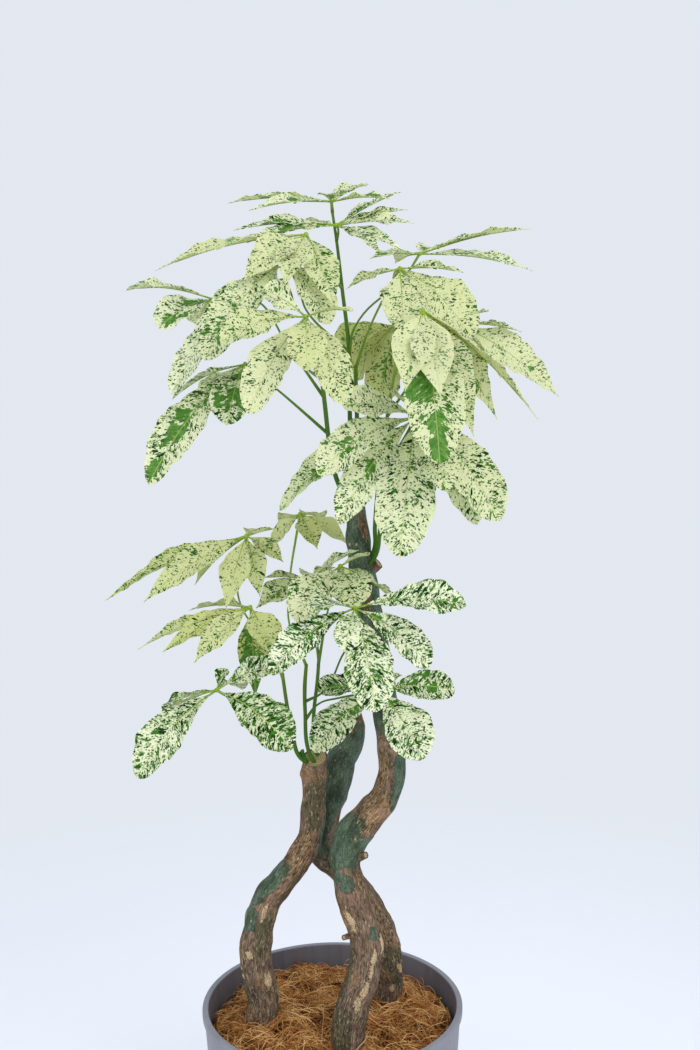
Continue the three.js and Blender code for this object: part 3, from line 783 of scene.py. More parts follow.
edge = read(tree, "green_bark") + (ragged * 1.5 - 0.75) + (grit * 0.9 - 0.45)
skin = stepped(edge, -0.03, 0.05)
border = stepped(edge, -0.3, -0.1) * (1.0 - skin) * stepped(broad, 0.42, 0.6)
dusky = zone(dusky_at, 1.2, -0.12, 0.12)
fibrous = zone(fibrous_at, 1.4, -0.05, 0.05)
flaky = grit * 2.4 + (pale_at - 1.25)
pale = zone(flaky, 3.0, -0.05, 0.1)
pale_rim = zone(flaky, 3.0, -0.35, -0.2) - pale
depth = crack * (old * 0.35 + 0.3)
burr = read(tree, "scar") * stepped(grit, 0.4, 0.6) * 0.75
fibres = toned(fibre, 0.4, 0.52, (58, 43, 30), (142, 116, 88))
fibres = toned(fibre, 0.54, 0.64, fibres, (196, 162, 122))
wood = layered(
    toned(broad, 0.35, 0.65, (100, 82, 65), (144, 121, 100)),
    (stepped(pinkish, 0.5, 0.6) * 0.8, (146, 115, 97)),
    (stepped(grit, 0.52, 0.66), (110, 88, 70)),
    (fibrous, fibres),
    (old * 0.42, toned(fibre, 0.42, 0.6, (52, 40, 31), (188, 169, 147))),
    (dusky * 0.85, toned(grit, 0.42, 0.66, (76, 80, 56), (128, 114, 92))),
    (pale_bits * 0.6, mixed(pale_tone, (160, 132, 104), (206, 184, 146))),
    (dark_bits * 0.5, (42, 31, 23)),
    (depth, (40, 28, 20)),
    (burr, mixed(dark_tone, (150, 90, 56), (204, 174, 128))),
    (pale_rim * 0.55, (58, 42, 32)),
    (pale, toned(grit, 0.4, 0.62, (172, 144, 106), (228, 204, 162))),
    (border * 0.8, (166, 132, 112)),
)
dots = add(tree, "TexVoronoi", {"Vector": scaled(straight, (0.13, 0.13, 0.075)), "Scale": 1.0}, "Distance")
chosen = parts_of(beside(dots, "Color"))[0]
pores = (1.0 - stepped(dots, 0.1, 0.15)) * stepped(chosen, 0.5, 0.55)
rind = layered(
    toned(broad, 0.38, 0.62, (54, 72, 50), (92, 114, 92)),
    (stepped(grit, 0.48, 0.62), (32, 48, 30)),
    (stepped(fibre, 0.56, 0.68), (134, 144, 118)),
    (pale_bits * 0.28, (150, 150, 122)),
    (pores, (196, 154, 126)),
)
bark_height = skin * 0.4 + fibre * 0.9 + grit * 0.5 + pores * 0.35 + pale * 0.5 - depth * 0.6
sprout = toned(grit, 0.4, 0.65, (36, 92, 24), (84, 128, 52))
bark = mixed(read(tree, "sprout"), mixed(skin, wood, rind), sprout)
surface(skin_of(bark, ranged(skin, 0.9, 0.55), ranged(skin, 0.2, 0.35), bumped(bark_height, 1.0, 0.0012)))

cut_wood, tree = new_material("cut_wood")
sawn = read(tree, "from_pith", "Vector")
rough_cut = clouds(sawn, 0.5, 4.0, 0.7)
rings = maths("SINE", length_of(sawn) * 3.2 + rough_cut * 6.0)
end_grain = toned(rings, -0.6, 0.9, (160, 144, 100), (206, 190, 142))
end_grain = toned(rough_cut, 0.52, 0.68, end_grain, (124, 88, 58))
surface(skin_of(end_grain, 0.9, 0.2, bumped(rings + rough_cut, 0.7, 0.0008)))


def barked(name, route, between, corners_round, form, seed, rim, back):
    """A stem with its bark, sawn across at its end, where the cut faces as the last rings run."""
    stem, middles = swept(name, route, between, corners_round)
    bark_on(stem, middles, form, seed)
    stem.data.materials.append(trunk_bark)
    stem.data.materials.append(cut_wood)
    *at, reach = route[-1]
    along = Vector(middles[-1]) - Vector(middles[-back])
    cut_across(stem, at, along, reach, rim)
    return stem


for order, (node, trunk) in enumerate(TRUNKS.items()):
    seed = TRUNK_SEED + 10 * order
    parts = [barked(node + "_wood", trunk["route"], 12, TRUNK_SIDES, trunk, seed, BARK_RIM, 3)]
    for number, (start, end, wide, narrow) in enumerate(trunk["scars"]):
        halfway = [(a + b) / 2 for a, b in zip(start, end)]
        route = [[*start, wide], [*halfway, (wide + narrow) / 2], [*end, narrow]]
        form = {"green": [], "bare": [], "knots": [], "sprout": float(node == "trunk_left")}
        rim = min(1, narrow / 4)
        parts.append(barked(f"{node}_stub_{number}", route, 6, STUB_SIDES, form, STUB_SEED + number, rim, 2))
    whole = joined(parts)
    smoothed(whole, 60)
    stands_for(whole, "bark", node)


# ---------------------------------------------------------------------------------------------------
# Shoots: soft green stems that grew from the cuts, each with the long stalks of its leaves. They are
# thicker where a stalk leaves them, browner at the foot and yellow-green towards the youngest leaves.
# ---------------------------------------------------------------------------------------------------
# Routes are [x, y, z, radius] in mm.
SHOOTS = {
    "crown_shoot_left": [
        [18, -3, 862, 3.4], [11, -5, 880, 3.2], [5, -10, 914, 3.1], [1, -18, 955, 3], [-2, -25, 987, 2.8],
    ],
    "crown_shoot_tall": [
        [26, 0, 862, 3.4], [27, 4, 895, 3.2], [27, 5, 970, 3], [27, 5, 1012, 2.8], [20, 5, 1082, 2.4],
        [15, 5, 1129, 2], [11, 9, 1158, 1.8],
    ],
    "crown_shoot_back": [[32, 7, 864, 3.2], [35, 16, 916, 3.1], [34, 21, 972, 2.8], [34, 25, 996, 2.6]],
    "side_shoot_right": [
        [44, -1, 784, 3.2], [52, -4, 798, 3], [53, -8, 825, 2.8], [56, -10, 862, 2.7], [70, -15, 967, 2.4],
    ],
    "side_shoot_front": [
        [44, -7, 780, 3], [54, -14, 795, 2.8], [58, -22, 823, 2.6], [64, -45, 884, 2.4], [90, -79, 942, 2.2],
    ],
    "lower_shoot_left": [
        [-22, -4, 554, 3], [-34, -8, 566, 2.9], [-40, -9, 590, 2.8], [-45, -11, 620, 2.6],
        [-50, -18, 664, 2.4],
    ],
    "lower_shoot_middle": [
        [-15, -6, 554, 3], [-23, -8, 572, 2.8], [-26, -6, 616, 2.6], [-26, -4, 644, 2.8], [-24, 0, 669, 2.4],
    ],
    "lower_shoot_right": [
        [-11, 4, 554, 3], [-17, 6, 580, 2.8], [-17, 6, 606, 2.6], [-12, 5, 650, 2.5], [-10, 0, 675, 2.3],
    ],
}
# Leaves in mm: whether the narrow leaflets are pointed, the shoot, how yellow and shaded, speckled and
# patched the leaf looks, the stalk's way to the hub where the leaflets meet, and each leaflet as [x, y, z of
# its tip from the hub, width, degrees that its face turns from up to the front, what its own patches add].
# How yellow and shaded darkens the cream ground to yellow-olive: partly the leaf's own yellow, partly painted
# shade.
LEAVES = {
    "crown_leaf_1": {
        "pointed": True, "shoot": "crown_shoot_tall", "looks": (0.35, 0.22, 0.35),
        "stalk": [[11, 9, 1158], [10, 10, 1170]],
        "leaflets": [
            [-110, 20, 0, 32, 0, 0.2], [-85, -35, -10, 28, 15, 0], [40, 60, 20, 30, 0, 0],
            [-5, -50, 5, 22, 0, 0.2], [25, 40, 15, 24, 0, 0.2], [60, -45, 0, 24, 10, 0.1],
        ],
    },
    "crown_leaf_2": {
        "pointed": True, "shoot": "crown_shoot_tall", "looks": (0.3, 0.25, 0.45),
        "stalk": [[15, 5, 1129], [17, -4, 1140], [15, -12, 1145]],
        "leaflets": [
            [70, 40, 35, 24, 0, 0.2], [75, 10, 15, 24, 10, 0.2], [80, -20, 0, 26, 25, 0.1],
            [70, -40, -30, 22, 20, 0.3], [45, -60, -30, 20, 20, -0.2], [-105, -25, -5, 28, 15, 0.1],
            [-90, -50, -18, 26, 30, 0], [-45, 45, 0, 26, 0, 0.1],
        ],
    },
    "crown_leaf_3": {
        "pointed": True, "shoot": "crown_shoot_tall", "looks": (0.65, 0.22, 0.2),
        "stalk": [[20, 5, 1080], [0, -30, 1105], [-15, -70, 1135]],
        "leaflets": [
            [-150, -25, -35, 38, 10, 0.2], [28, -50, -72, 36, 40, 0], [-60, -55, -45, 40, 42, 0],
            [-40, 60, -30, 32, 0, 0.1], [-20, -65, -50, 36, 40, 0],
        ],
    },
    "crown_leaf_4": {
        "shoot": "crown_shoot_tall", "looks": (0.35, 0.25, 0.1),
        "stalk": [[27, 5, 1012], [-16, -38, 1057], [-23, -62, 1080], [-35, -85, 1110]],
        "leaflets": [
            [43, -26, -63, 35, 42, 0], [-78, -60, -95, 46, 45, 0.1], [-115, -30, -130, 40, 25, 0],
            [-45, 60, -60, 36, 0, 0.1],
        ],
    },
    "crown_leaf_5": {
        "shoot": "crown_shoot_left", "looks": (0.3, 0.26, 0.3),
        "stalk": [[0, -20, 966], [-38, -2, 1020], [-74, -2, 1070], [-115, -10, 1070]],
        "leaflets": [
            [-90, -10, 10, 34, 5, 0], [-52, -50, -28, 42, 38, 0.5], [-25, 75, -30, 36, 0, 0],
            [30, 60, -45, 34, 0, 0],
        ],
    },
    "crown_leaf_6": {
        "shoot": "crown_shoot_left", "looks": (0.2, 0.3, 0.35),
        "stalk": [[5, -10, 925], [-49, -38, 977], [-80, -60, 1005]],
        "leaflets": [
            [-95, -60, -115, 44, 45, 0.2], [-14, -70, -55, 44, 34, 0.4], [-75, -5, -35, 28, 0, 0],
            [-60, 60, -60, 36, 0, 0], [10, 85, -40, 34, 0, 0],
        ],
    },
    "crown_leaf_7": {
        "shoot": "crown_shoot_left", "looks": (0.55, 0.22, 0.1),
        "stalk": [[-2, -25, 985], [-18, -75, 1007], [-15, -120, 1055]],
        "leaflets": [
            [-80, -50, -22, 36, 45, 0], [-55, -50, -90, 42, 45, 0.1], [2, -70, -48, 38, 28, 0],
            [36, -50, -82, 38, 45, 0.1], [45, -30, 5, 20, 0, 0], [-42, -12, 26, 34, 48, 0.2],
        ],
    },
    "crown_leaf_8": {
        "pointed": True, "shoot": "crown_shoot_tall", "looks": (0.35, 0.22, 0.4),
        "stalk": [[27, 5, 1010], [33, 4, 1038], [90, 41, 1093], [105, 50, 1115]],
        "leaflets": [
            [120, -10, 25, 32, 0, 0.1], [120, -30, -20, 34, 12, 0.1], [25, 70, 5, 30, 0, 0],
            [-55, -30, -5, 26, 10, 0.2], [-25, 60, -10, 26, 0, 0],
        ],
    },
    "crown_leaf_9": {
        "pointed": True, "shoot": "crown_shoot_back", "looks": (0.6, 0.24, 0.1),
        "stalk": [[34, 25, 994], [50, 0, 1040], [80, -40, 1100]],
        "leaflets": [
            [-55, -20, -20, 26, 10, 0], [2, -70, -74, 46, 32, 0], [71, -45, -70, 52, 42, 0],
            [65, -10, -5, 28, 10, 0], [20, 80, -35, 34, 0, 0],
        ],
    },
    "crown_leaf_10": {
        "pointed": True, "shoot": "side_shoot_right", "looks": (0.65, 0.21, 0.1),
        "stalk": [[70, -15, 965], [75, -50, 994], [100, -110, 1060]],
        "leaflets": [
            [-20, -60, -75, 44, 45, 0], [14, -62, -82, 42, 50, 0], [13, -65, -145, 58, 60, 1.1],
            [48, -35, -122, 44, 52, 0], [115, 0, -110, 34, 0, 0.2], [75, 10, -110, 38, 40, 0],
        ],
    },
    "crown_leaf_11": {
        "pointed": True, "shoot": "side_shoot_right", "looks": (0.35, 0.26, 0.3),
        "stalk": [[67, -14, 945], [94, 5, 980], [120, 28, 1012], [145, 45, 1040]],
        "leaflets": [
            [110, -20, -80, 46, 45, -0.1], [70, -10, -10, 24, 0, 0], [40, 60, 10, 30, 0, 0],
            [55, 60, -65, 36, 0, 0.1],
        ],
    },
    "crown_leaf_12": {
        "shoot": "side_shoot_right", "looks": (1.0, 0.24, 0.1),
        "stalk": [[70, -15, 963], [77, 5, 1003], [80, 35, 1040]],
        "leaflets": [
            [-72, 5, -35, 42, 40, 0], [-48, 20, -60, 42, 42, 0], [-20, 28, -88, 44, 50, 0.2],
            [50, 55, -50, 36, 0, 0], [-10, 90, -40, 34, 0, 0.1],
        ],
    },
    "crown_leaf_13": {
        "shoot": "side_shoot_front", "looks": (0.35, 0.27, 0.1),
        "stalk": [[88, -77, 938], [95, -85, 952]],
        "leaflets": [
            [-75, -40, 15, 36, 50, 0.2], [-25, -40, 25, 24, 30, 0], [-100, -60, -50, 44, 48, 0.3],
            [-80, -60, -100, 38, 50, 0.1], [-140, -20, -92, 36, 25, 0.3], [-20, -70, -132, 60, 60, 0],
            [25, -80, -65, 42, 40, 0.1], [80, -50, -100, 50, 55, 0], [35, 70, -40, 36, 0, 0.2],
            [60, -25, -108, 36, 50, 0.1],
        ],
    },
    "lower_leaf_1": {
        "pointed": True, "shoot": "lower_shoot_middle", "looks": (0.9, 0.2, 0.05),
        "stalk": [[-24, 0, 667], [-42, 10, 710], [-43, 20, 745], [-30, 45, 830]],
        "leaflets": [
            [-34, -14, -36, 24, 20, 0], [20, -50, -30, 30, 30, 0], [55, -10, -35, 28, 20, 0],
            [-20, 70, -30, 32, 0, 0], [25, 65, -20, 30, 0, 0],
        ],
    },
    "lower_leaf_2": {
        "pointed": True, "shoot": "lower_shoot_left", "looks": (0.85, 0.23, 0.05),
        "stalk": [[-50, -18, 662], [-71, -20, 702], [-96, -24, 754], [-85, -30, 820]],
        "leaflets": [
            [10, 35, 0, 20, 0, 0], [30, 10, 5, 18, 0, 0], [40, -20, -25, 24, 30, 0],
            [15, -30, -60, 28, 40, 0], [-20, -45, -70, 32, 40, 0], [-150, -20, -65, 34, 15, 0],
            [-105, -50, -60, 36, 40, 0], [-60, 30, -60, 32, 0, 0],
        ],
    },
    "lower_leaf_3": {
        "pointed": True, "shoot": "lower_shoot_left", "looks": (0.85, 0.22, 0.1),
        "stalk": [[-49, -17, 656], [-60, -40, 700], [-80, -65, 750]],
        "leaflets": [
            [-120, 0, -45, 30, 10, 0], [-90, -30, -40, 30, 30, 0], [-70, 50, -15, 30, 0, 0.1],
            [-55, -55, -45, 30, 40, 0], [30, -60, -40, 36, 30, 0], [5, -25, -92, 32, 60, 0.9],
        ],
    },
    "lower_leaf_4": {
        "pointed": True, "shoot": "lower_shoot_right", "looks": (0.55, 0.27, 0.1),
        "stalk": [[-10, 0, 673], [-15, -6, 720], [-20, -20, 770]],
        "leaflets": [
            [-55, -30, -25, 34, 30, 0.3], [-50, 5, 0, 24, 0, 0], [5, 65, -10, 26, 0, 0],
            [55, -20, 35, 28, 10, 0], [30, 10, 10, 24, 0, 0],
        ],
    },
    "lower_leaf_5": {
        "shoot": "lower_shoot_right", "looks": (0.45, 0.28, 0.1),
        "stalk": [[-11, 2, 666], [0, -20, 730], [10, -42, 774], [15, -50, 790]],
        "leaflets": [
            [30, -20, 15, 22, 0, 0], [-45, -60, -45, 46, 38, 0], [15, -60, -32, 44, 34, 0],
            [55, 10, -40, 32, 0, 0],
        ],
    },
    "lower_leaf_6": {
        "shoot": "lower_shoot_middle", "looks": (0.1, 0.37, 0.05),
        "stalk": [[-25, -6, 628], [-6, -18, 642], [18, -50, 695], [38, -95, 735], [30, -115, 760]],
        "leaflets": [
            [-85, -50, -55, 37, 42, 0.1], [-40, -50, 10, 34, 10, 0], [-10, -60, -30, 28, 30, 0],
            [20, -50, -95, 50, 60, 0.1], [75, -30, -55, 36, 45, 0.5], [110, -40, 10, 38, 40, 0.4],
        ],
    },
    "lower_leaf_7": {
        "shoot": "lower_shoot_middle", "looks": (0.1, 0.42, 0.15),
        "stalk": [[-25, -7, 608], [-12, -16, 627], [12, -34, 640], [55, -45, 650]],
        "leaflets": [
            [80, -30, 8, 36, 50, 0.3], [45, -50, -60, 52, 50, 0.2], [-65, -30, 10, 34, 30, 0],
            [-70, -50, -50, 40, 45, 0.2], [25, 10, 15, 18, 0, 0],
        ],
    },
    "lower_leaf_8": {
        "shoot": "lower_shoot_left", "looks": (0.15, 0.44, 0.05),
        "stalk": [[-45, -11, 622], [-71, -45, 637], [-98, -75, 652], [-115, -100, 670]],
        "leaflets": [
            [-80, -40, -80, 44, 45, 0], [-50, -40, -8, 30, -25, 0.1], [10, 10, 20, 20, 0, 0],
            [65, -20, 30, 32, 38, 0], [80, -60, -45, 48, 45, 0], [-60, 65, -60, 36, 0, 0],
            [20, 85, -25, 28, 0, 0],
        ],
    },
}
SHOOT_SLIM = 0.82
SHOOT_BROWN = 9
STALK_RADIUS = 1.1
STALK_FOOT_RADIUS = 1.9
STALK_TOP_RADIUS = 1.5
STALK_BROWN = 5


def stem_marks(piece, middles, young_foot, young_tip, foot=0.0):
    """Marks how young and green a stem is from its foot to its tip, and how many mm of its foot are brown."""
    ring = nearest(corners_of(piece), middles)
    run = run_to(middles, ring)
    marked(piece, "young", young_foot + (young_tip - young_foot) * ring / (len(middles) - 1))
    marked(piece, "brown_foot", np.clip(1.6 - 1.6 * run / max(foot, 0.1), 0, 1) * (foot > 0))


green_stem, tree = new_material("green_stem")
place = object_place(tree)
streak = clouds(place, (700.0, 700.0, 60.0), 3.0)
bud_brown = read(tree, "brown_foot") * stepped(clouds(place, 900.0), 0.35, 0.6)
stem_skin = layered(
    mixed(read(tree, "young"), (26, 84, 18), (156, 180, 64)),
    (stepped(streak, 0.45, 0.7) * 0.5, (66, 116, 36)),
    (bud_brown, (96, 66, 40)),
)
surface(skin_of(stem_skin, 0.45, 0.15, bumped(streak, 0.3, 0.0005)))

for node, route in SHOOTS.items():
    slim = [[x, y, z, radius * SHOOT_SLIM] for x, y, z, radius in route]
    shoot, middles = swept(node + "_stem", slim, 8, 12)
    stem_marks(shoot, middles, 0.05, 0.3, SHOOT_BROWN)
    parts = [shoot]
    for leaf, form in LEAVES.items():
        if form["shoot"] != node:
            continue
        stalk = form["stalk"]
        swell = [STALK_FOOT_RADIUS, *[STALK_RADIUS] * (len(stalk) - 2), STALK_TOP_RADIUS]
        rounded = [[*point, radius] for point, radius in zip(stalk, swell)]
        petiole, middles = swept(leaf + "_stalk", rounded, 10, 10)
        warmth_and_shade = form["looks"][0]
        stem_marks(petiole, middles, 0.1 + 0.5 * warmth_and_shade, 0.25 + 0.75 * warmth_and_shade, STALK_BROWN)
        parts.append(petiole)
    whole = joined(parts)
    whole.data.materials.append(green_stem)
    smoothed(whole, 60)
    stands_for(whole, "shoot", node)


# ---------------------------------------------------------------------------------------------------
# Leaves: soft palmate leaves, cream marbled with green. Each is a ring of thin leaflets that taper to
# a small hub, fold along a pale midrib, arch down to their tips and wave along their edges.
# ---------------------------------------------------------------------------------------------------
BLADE_THICKNESS = 0.55
ROOT = 1.5
HUB_RADIUS = 2.4
KNEE_OUT = 0.55
KNEE_UP = 0.5
ARCH = 0.16
POINTED_ARCH = 0.09
BROAD_WIDTH = 50
# How late a leaflet widens, how late it narrows again, and how pointed it ends.
ROUND_FORM = (0.42, 5.0, 0.6)
POINTED_FORM = (0.34, 3.0, 1.5)
FOLD = 0.3
WAVE = 0.16
FRILL = 0.07
QUILT = 0.28
# The small scallops of the edge: depth as a share of the half width, how stretched they are, and lean.
SCALLOPS = ((0.02, 2.3, 2), (0.035, 5.3, -1))
VEIN_PITCH = 7.5
VEIN_SLANT = 0.75
THIN_END = 0.45
SMALL_LENGTH = 60
# The wave runs from row to row, and these are the rows' shares of a leaflet's length.
ROUND_ROWS = [0.12, 0.3, 0.52, 0.74, 0.93]
POINTED_ROWS = [0.1, 0.28, 0.5, 0.7, 0.87]
SMALL_ROWS = [0.12, 0.34, 0.62, 0.88]
ACROSS = 12
ALONG = 36
RIB_SHARES = [0, 0.12, 0.35, 0.6, 0.85]
RIB_RADII = [1.15, 1.0, 0.75, 0.55, 0.3]
RIB_DROP = 0.35
LEAF_GLOW = 0.34
FIRST_SEED = 101


def outline(share, form):
    """Half the width of a leaflet at a share of its length, as a share of its widest half."""
    flare, shoulder, taper = form
    width = (1 - np.exp(-((share / flare) ** 2))) * (1 - share**shoulder) ** taper
    return width / width.max()


def bowed(bow, share):
    """The points at these shares of a midrib, which leaves its foot towards a knee and ends at its tip."""
    foot, knee, tip = bow
    return foot * (1 - share) ** 2 + knee * 2 * share * (1 - share) + tip * share**2


def lay_leaflet(pattern, hub, leaflet, order, pointed, looks, seed):
    """Lays a copy of the flat pattern along an arched midrib, folded and waved, as one leaflet."""
    x, y, z, width, turn, own_patch = leaflet
    pointed = pointed and width < BROAD_WIDTH
    reach = np.array([x, y, z], dtype=float)
    length = np.linalg.norm(reach)
    rows = SMALL_ROWS if length < SMALL_LENGTH else POINTED_ROWS if pointed else ROUND_ROWS
    form, arch = (POINTED_FORM, POINTED_ARCH) if pointed else (ROUND_FORM, ARCH)
    facing = math.radians(turn)
    side = np.cross(reach, [0, -math.sin(facing), math.cos(facing)])
    side /= np.linalg.norm(side)
    foot = np.array(hub) + reach * ROOT / length
    knee = foot + [KNEE_OUT * x, KNEE_OUT * y, KNEE_UP * z + arch * length]
    tip = np.array(hub) + reach
    blade = pattern.copy()
    blade.data = pattern.data.copy()
    bpy.context.scene.collection.objects.link(blade)
    flat = corners_of(blade) * MM
    hand = flat[:, 0]
    off = np.abs(hand)
    along = (flat[:, 1] + 1) / 2
    along = 0.55 * along + 0.45 * np.sin(math.pi / 2 * along)
    share = along[:, None]
    ahead = (knee - foot) * 2 * (1 - share) + (tip - knee) * 2 * share
    normal = np.cross(side, ahead)
    normal /= np.linalg.norm(normal, axis=1, keepdims=True)
    draw = np.random.default_rng(seed)
    phase = draw.uniform(0, 2 * math.pi, 4)
    half = np.maximum(outline(along, form) * width / 2, THIN_END)
    run = along * length
    scallop = 1
    for (deep, stretch, lean), start in zip(SCALLOPS, phase):
        scallop = scallop + deep * np.sin(run / stretch + start + lean * hand) * hand**2
    row = np.interp(along, [0, *rows, 1], [-0.5, *range(len(rows)), len(rows) - 0.5])
    swing = np.sin(2.4 * row + 1.7 * order + np.sign(hand)) * WAVE * half * off**1.6
    frill = np.sin(run / 3.1 + phase[2] + 1.5 * hand) * FRILL * half * off**3
    vein = 2 * math.pi * (run - VEIN_SLANT * off * half) / VEIN_PITCH
    quilt = QUILT * np.cos(vein) * off * (1 - hand**2)
    lift = FOLD * half * off**1.15 + swing + frill + quilt
    middle = bowed((foot, knee, tip), share)
    put_corners(blade, middle + side * (hand * half * scallop)[:, None] + normal * lift[:, None])
    warmth_and_shade, specks, patches = looks
    shade = draw.normal(0, 1, 3) * [0.08, 0.035, 0.1]
    marked(blade, "blade", np.column_stack([hand * half, run, np.full(len(hand), seed * 3.7 % 97)]))
    traits = [warmth_and_shade + shade[0], specks + shade[1], patches + own_patch + shade[2]]
    marked(blade, "traits", np.tile(np.clip(traits, 0, 1), (len(hand), 1)))
    marked(blade, "span", off)
    return blade, (foot, knee, tip)


marbling = bpy.data.node_groups.new("marbling", "ShaderNodeTree")
for name, kind in (("Blade", "Vector"), ("Traits", "Vector"), ("Span", "Float"), ("Fade", "Float")):
    marbling.interface.new_socket(name, in_out="INPUT", socket_type="NodeSocket" + kind)
for name, kind in (("Colour", "Color"), ("Relief", "Float")):
    marbling.interface.new_socket(name, in_out="OUTPUT", socket_type="NodeSocket" + kind)
entry = marbling.nodes.new("NodeGroupInput").outputs
blade_at, traits, span, fade = [Field(marbling, entry[name]) for name in ("Blade", "Traits", "Span", "Fade")]
across, along, leaflet_seed = parts_of(blade_at)
warm_and_shaded, speckled, patched = parts_of(traits)
off_rib = maths("ABSOLUTE", across)
seed_at = maths("SIGN", across) * 7.0 + leaflet_seed
along_vein = along * 0.6 + off_rib * 0.8
over_vein = along * 0.8 - off_rib * 0.6
veined = add(marbling, "CombineXYZ", {"X": along_vein, "Y": over_vein, "Z": seed_at}, "Vector")
vein_wave = maths("COSINE", (along - off_rib * VEIN_SLANT) * (2 * math.pi / VEIN_PITCH))
vein = stepped(vein_wave, 0.93, 1.0)
rib = 1.0 - stepped(off_rib, 0.3, 0.75)
spread = clouds(veined, (0.07, 0.09, 1.0), 1.0)
small_share = speckled * 0.8 + (spread * 0.7 - 0.36)
large_share = speckled * 1.5 + (spread * 0.8 - 0.79) - vein_wave * (speckled * 0.3)
small_flecks, small_tone = flecks(veined, (0.55, 0.95, 1.0), small_share, 0.9)
large_flecks, large_tone = flecks(veined, (0.17, 0.42, 1.3), large_share, 0.8)
halo, _ = flecks(veined, (0.2, 0.4, 1.6), large_share + 0.06, 0.8)
fleck_tone = large_flecks * (large_tone - small_tone) + small_tone
ragged_edge = clouds(veined, (0.12, 0.3, 1.0), 3.0, 0.6)
blotch = ragged_edge * 0.5 + (clouds(blade_at, (0.05, 0.03, 0.7)) - 0.25)
blotch = blotch - maths("POWER", span, 1.5) * 0.22
blotch = stepped(blotch - (patched * -0.32 + 0.7), -0.004, 0.008)
ghost = speckled * 0.2 + clouds(veined, (0.5, 0.65, 1.3), 2.0, 0.6)
dark = maths("MAXIMUM", small_flecks, large_flecks) * (blotch * -0.6 + 1.0)
dark = dark * maths("MULTIPLY_ADD", speckled, 5.0, 0.12, clamp=True)
leaf_colour = layered(
    # The first trait turns the cream ground to a darker yellow-olive: partly the leaf's own yellow, partly
    # painted shade on leaves that lie in shade.
    mixed(warm_and_shaded, (253, 253, 236), (212, 215, 146)),
    (stepped(ghost, 0.58, 0.68) * 0.5, (176, 200, 124)),
    (halo * 0.55, (140, 172, 104)),
    (blotch, toned(ragged_edge, 0.4, 0.6, (116, 164, 78), (84, 138, 56))),
    (dark, toned(fleck_tone, 0.2, 0.75, (12, 60, 0), (70, 128, 38))),
    (vein * 0.15, (214, 222, 150)),
    (rib * (speckled + 0.3), (200, 214, 136)),
    (fade, (214, 222, 168)),
)
relief = clouds(veined, (0.5, 0.5, 1.0)) * 0.35 - vein * 0.5
leaving = marbling.nodes.new("NodeGroupOutput").inputs
marbling.links.new(leaf_colour.socket, leaving["Colour"])
marbling.links.new(relief.socket, leaving["Relief"])


def leaf_side(name, fade, gloss):
    """One side of the leaf: the marbled skin, and the light that comes through the thin blade."""
    material, tree = new_material(name)
    marks = {
        "Blade": read(tree, "blade", "Vector"), "Traits": read(tree, "traits", "Vector"),
        "Span": read(tree, "span"), "Fade": fade,
    }
    marbled = add(tree, "Group", marks, "Colour", node_tree=marbling)
    skin = skin_of(marbled, gloss, 0.12, bumped(beside(marbled, "Relief"), 0.5, 0.0006))
    through = add(tree, "BsdfTranslucent", {"Color": mixed(1.0, marbled, (248, 255, 196), "MULTIPLY")})
    surface(add(tree, "MixShader", {0: LEAF_GLOW, 1: skin, 2: through}))
    return material


leaf_upper = leaf_side("leaf_upper", 0.0, 0.45)
leaf_under = leaf_side("leaf_under", 0.35, 0.65)

bpy.ops.object.select_all(action="DESELECT")
bpy.ops.mesh.primitive_grid_add(x_subdivisions=ACROSS, y_subdivisions=ALONG, size=2)
leaflet_pattern = bpy.context.object
seed = FIRST_SEED
for node, form in LEAVES.items():
    hub = form["stalk"][-1]
    pointed = form.get("pointed", False)
    blades = []
    ribs = []
    for order, leaflet in enumerate(form["leaflets"]):
        blade, bow = lay_leaflet(leaflet_pattern, hub, leaflet, order, pointed, form["looks"], seed)
        seed += 1
        blades.append(blade)
        under = bowed(bow, np.array(RIB_SHARES)[:, None])
        under[1:, 2] -= RIB_DROP
        route = [[*point, radius] for point, radius in zip(under, RIB_RADII)]
        midrib, middles = swept(f"{node}_rib_{order}", route, 3, 6)
        stem_marks(midrib, middles, 0.75, 0.95)
        ribs.append(midrib)
    leaf = joined(blades)
    leaf.name = node + "_blades"
    leaf.data.materials.append(leaf_upper)
    leaf.data.materials.append(leaf_under)
    thickness = BLADE_THICKNESS * MM
    finished_by(leaf, "SOLIDIFY", thickness=thickness, offset=0, material_offset=1, material_offset_rim=0)
    bpy.ops.object.select_all(action="DESELECT")
    hub_at = [part * MM for part in hub]
    bpy.ops.mesh.primitive_ico_sphere_add(subdivisions=3, radius=HUB_RADIUS * MM, location=hub_at)
    boss = bpy.context.object
    bpy.ops.object.transform_apply(location=True, rotation=False, scale=False)
    marked(boss, "young", np.full(len(boss.data.vertices), 0.85))
    marked(boss, "brown_foot", np.zeros(len(boss.data.vertices)))
    stems = joined([boss, *ribs])
    stems.data.materials.append(green_stem)
    leaf = joined([leaf, stems])
    smoothed(leaf, 60)
    stands_for(leaf, "leaf", node)
bpy.data.objects.remove(leaflet_pattern)


# ---------------------------------------------------------------------------------------------------
# Studio: a plain pale floor that melts into a pale blue-white surround, three large soft lamps, and the
# camera level with the crown, looking slightly down.
# ---------------------------------------------------------------------------------------------------
FLOOR_RADIUS = 3
FLOOR_MELTS = (0.35, 1.6)
PITCH = math.radians(10.26)
ROLL = math.radians(-0.6)
VIEW_FROM = (26, -1563, 1108)
LENS = 50
FILM_WIDTH = 36

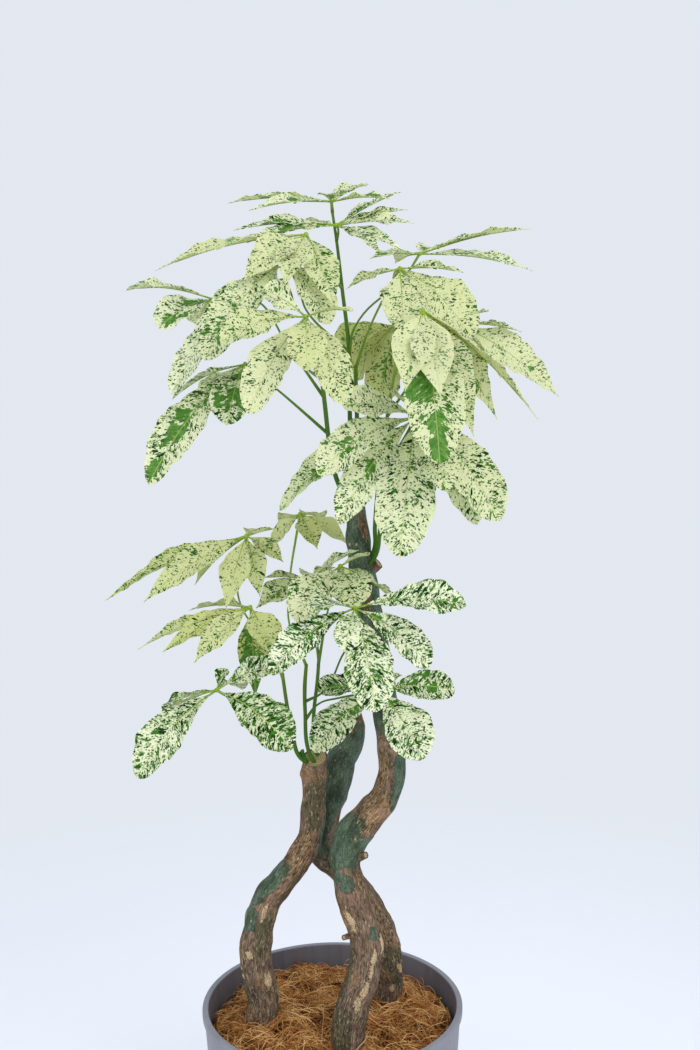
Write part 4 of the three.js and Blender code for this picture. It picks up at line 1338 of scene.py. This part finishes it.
bpy.ops.object.select_all(action="DESELECT")
bpy.ops.mesh.primitive_circle_add(vertices=96, radius=FLOOR_RADIUS, fill_type="NGON", location=(0, 0, 0))
floor = bpy.context.object
floor.name = "studio_floor"
floor_paper, tree = new_material("floor_paper")
place = object_place(tree)
paper = skin_of(mixed(clouds(place, 2.0), (240, 243, 249), (244, 247, 252)), 0.8, 0.2)
clear = add(tree, "BsdfTransparent", {})
melting = stepped(length_of(place), *FLOOR_MELTS)
surface(add(tree, "MixShader", {0: melting, 1: paper, 2: clear}))
floor.data.materials.append(floor_paper)

world = bpy.data.worlds.new("studio_air")
bpy.context.scene.world = world
world.use_nodes = True
world.node_tree.nodes["Background"].inputs["Color"].default_value = colour(226, 231, 240)
world.node_tree.nodes["Background"].inputs["Strength"].default_value = 1.0


def soft_lamp(name, place, aim, size, power, tint):
    """A square lamp, in metres and watts, that faces its aim."""
    bpy.ops.object.light_add(type="AREA", location=place)
    lamp = bpy.context.object
    lamp.name = name
    lamp.rotation_euler = (Vector(aim) - Vector(place)).to_track_quat("-Z", "Y").to_euler()
    lamp.data.size = size
    lamp.data.energy = power
    lamp.data.color = tint


soft_lamp("key_lamp", (1.3, -1.5, 2.5), (0, 0, 0.85), 1.4, 25, (1.0, 0.98, 0.95))
soft_lamp("front_lamp", (0.2, -2.3, 0.9), (0, 0, 0.8), 2.0, 13, (1.0, 1.0, 0.98))
soft_lamp("fill_lamp", (-1.8, -1.0, 1.5), (0, 0, 0.6), 1.6, 11, (0.96, 0.98, 1.0))

ahead = Vector((0, math.cos(PITCH), -math.sin(PITCH)))
level = Vector((1, 0, 0))
above = level.cross(ahead)
right = level * math.cos(ROLL) + above * math.sin(ROLL)
upward = above * math.cos(ROLL) - level * math.sin(ROLL)
bpy.ops.object.camera_add()
camera = bpy.context.object
turned = Matrix((right, upward, -ahead)).transposed().to_4x4()
camera.matrix_world = Matrix.Translation(Vector(VIEW_FROM) * MM) @ turned
camera.data.lens = LENS
camera.data.sensor_width = FILM_WIDTH
camera.data.clip_start = 0.05
bpy.context.scene.camera = camera
bpy.context.scene.view_settings.view_transform = "Standard"
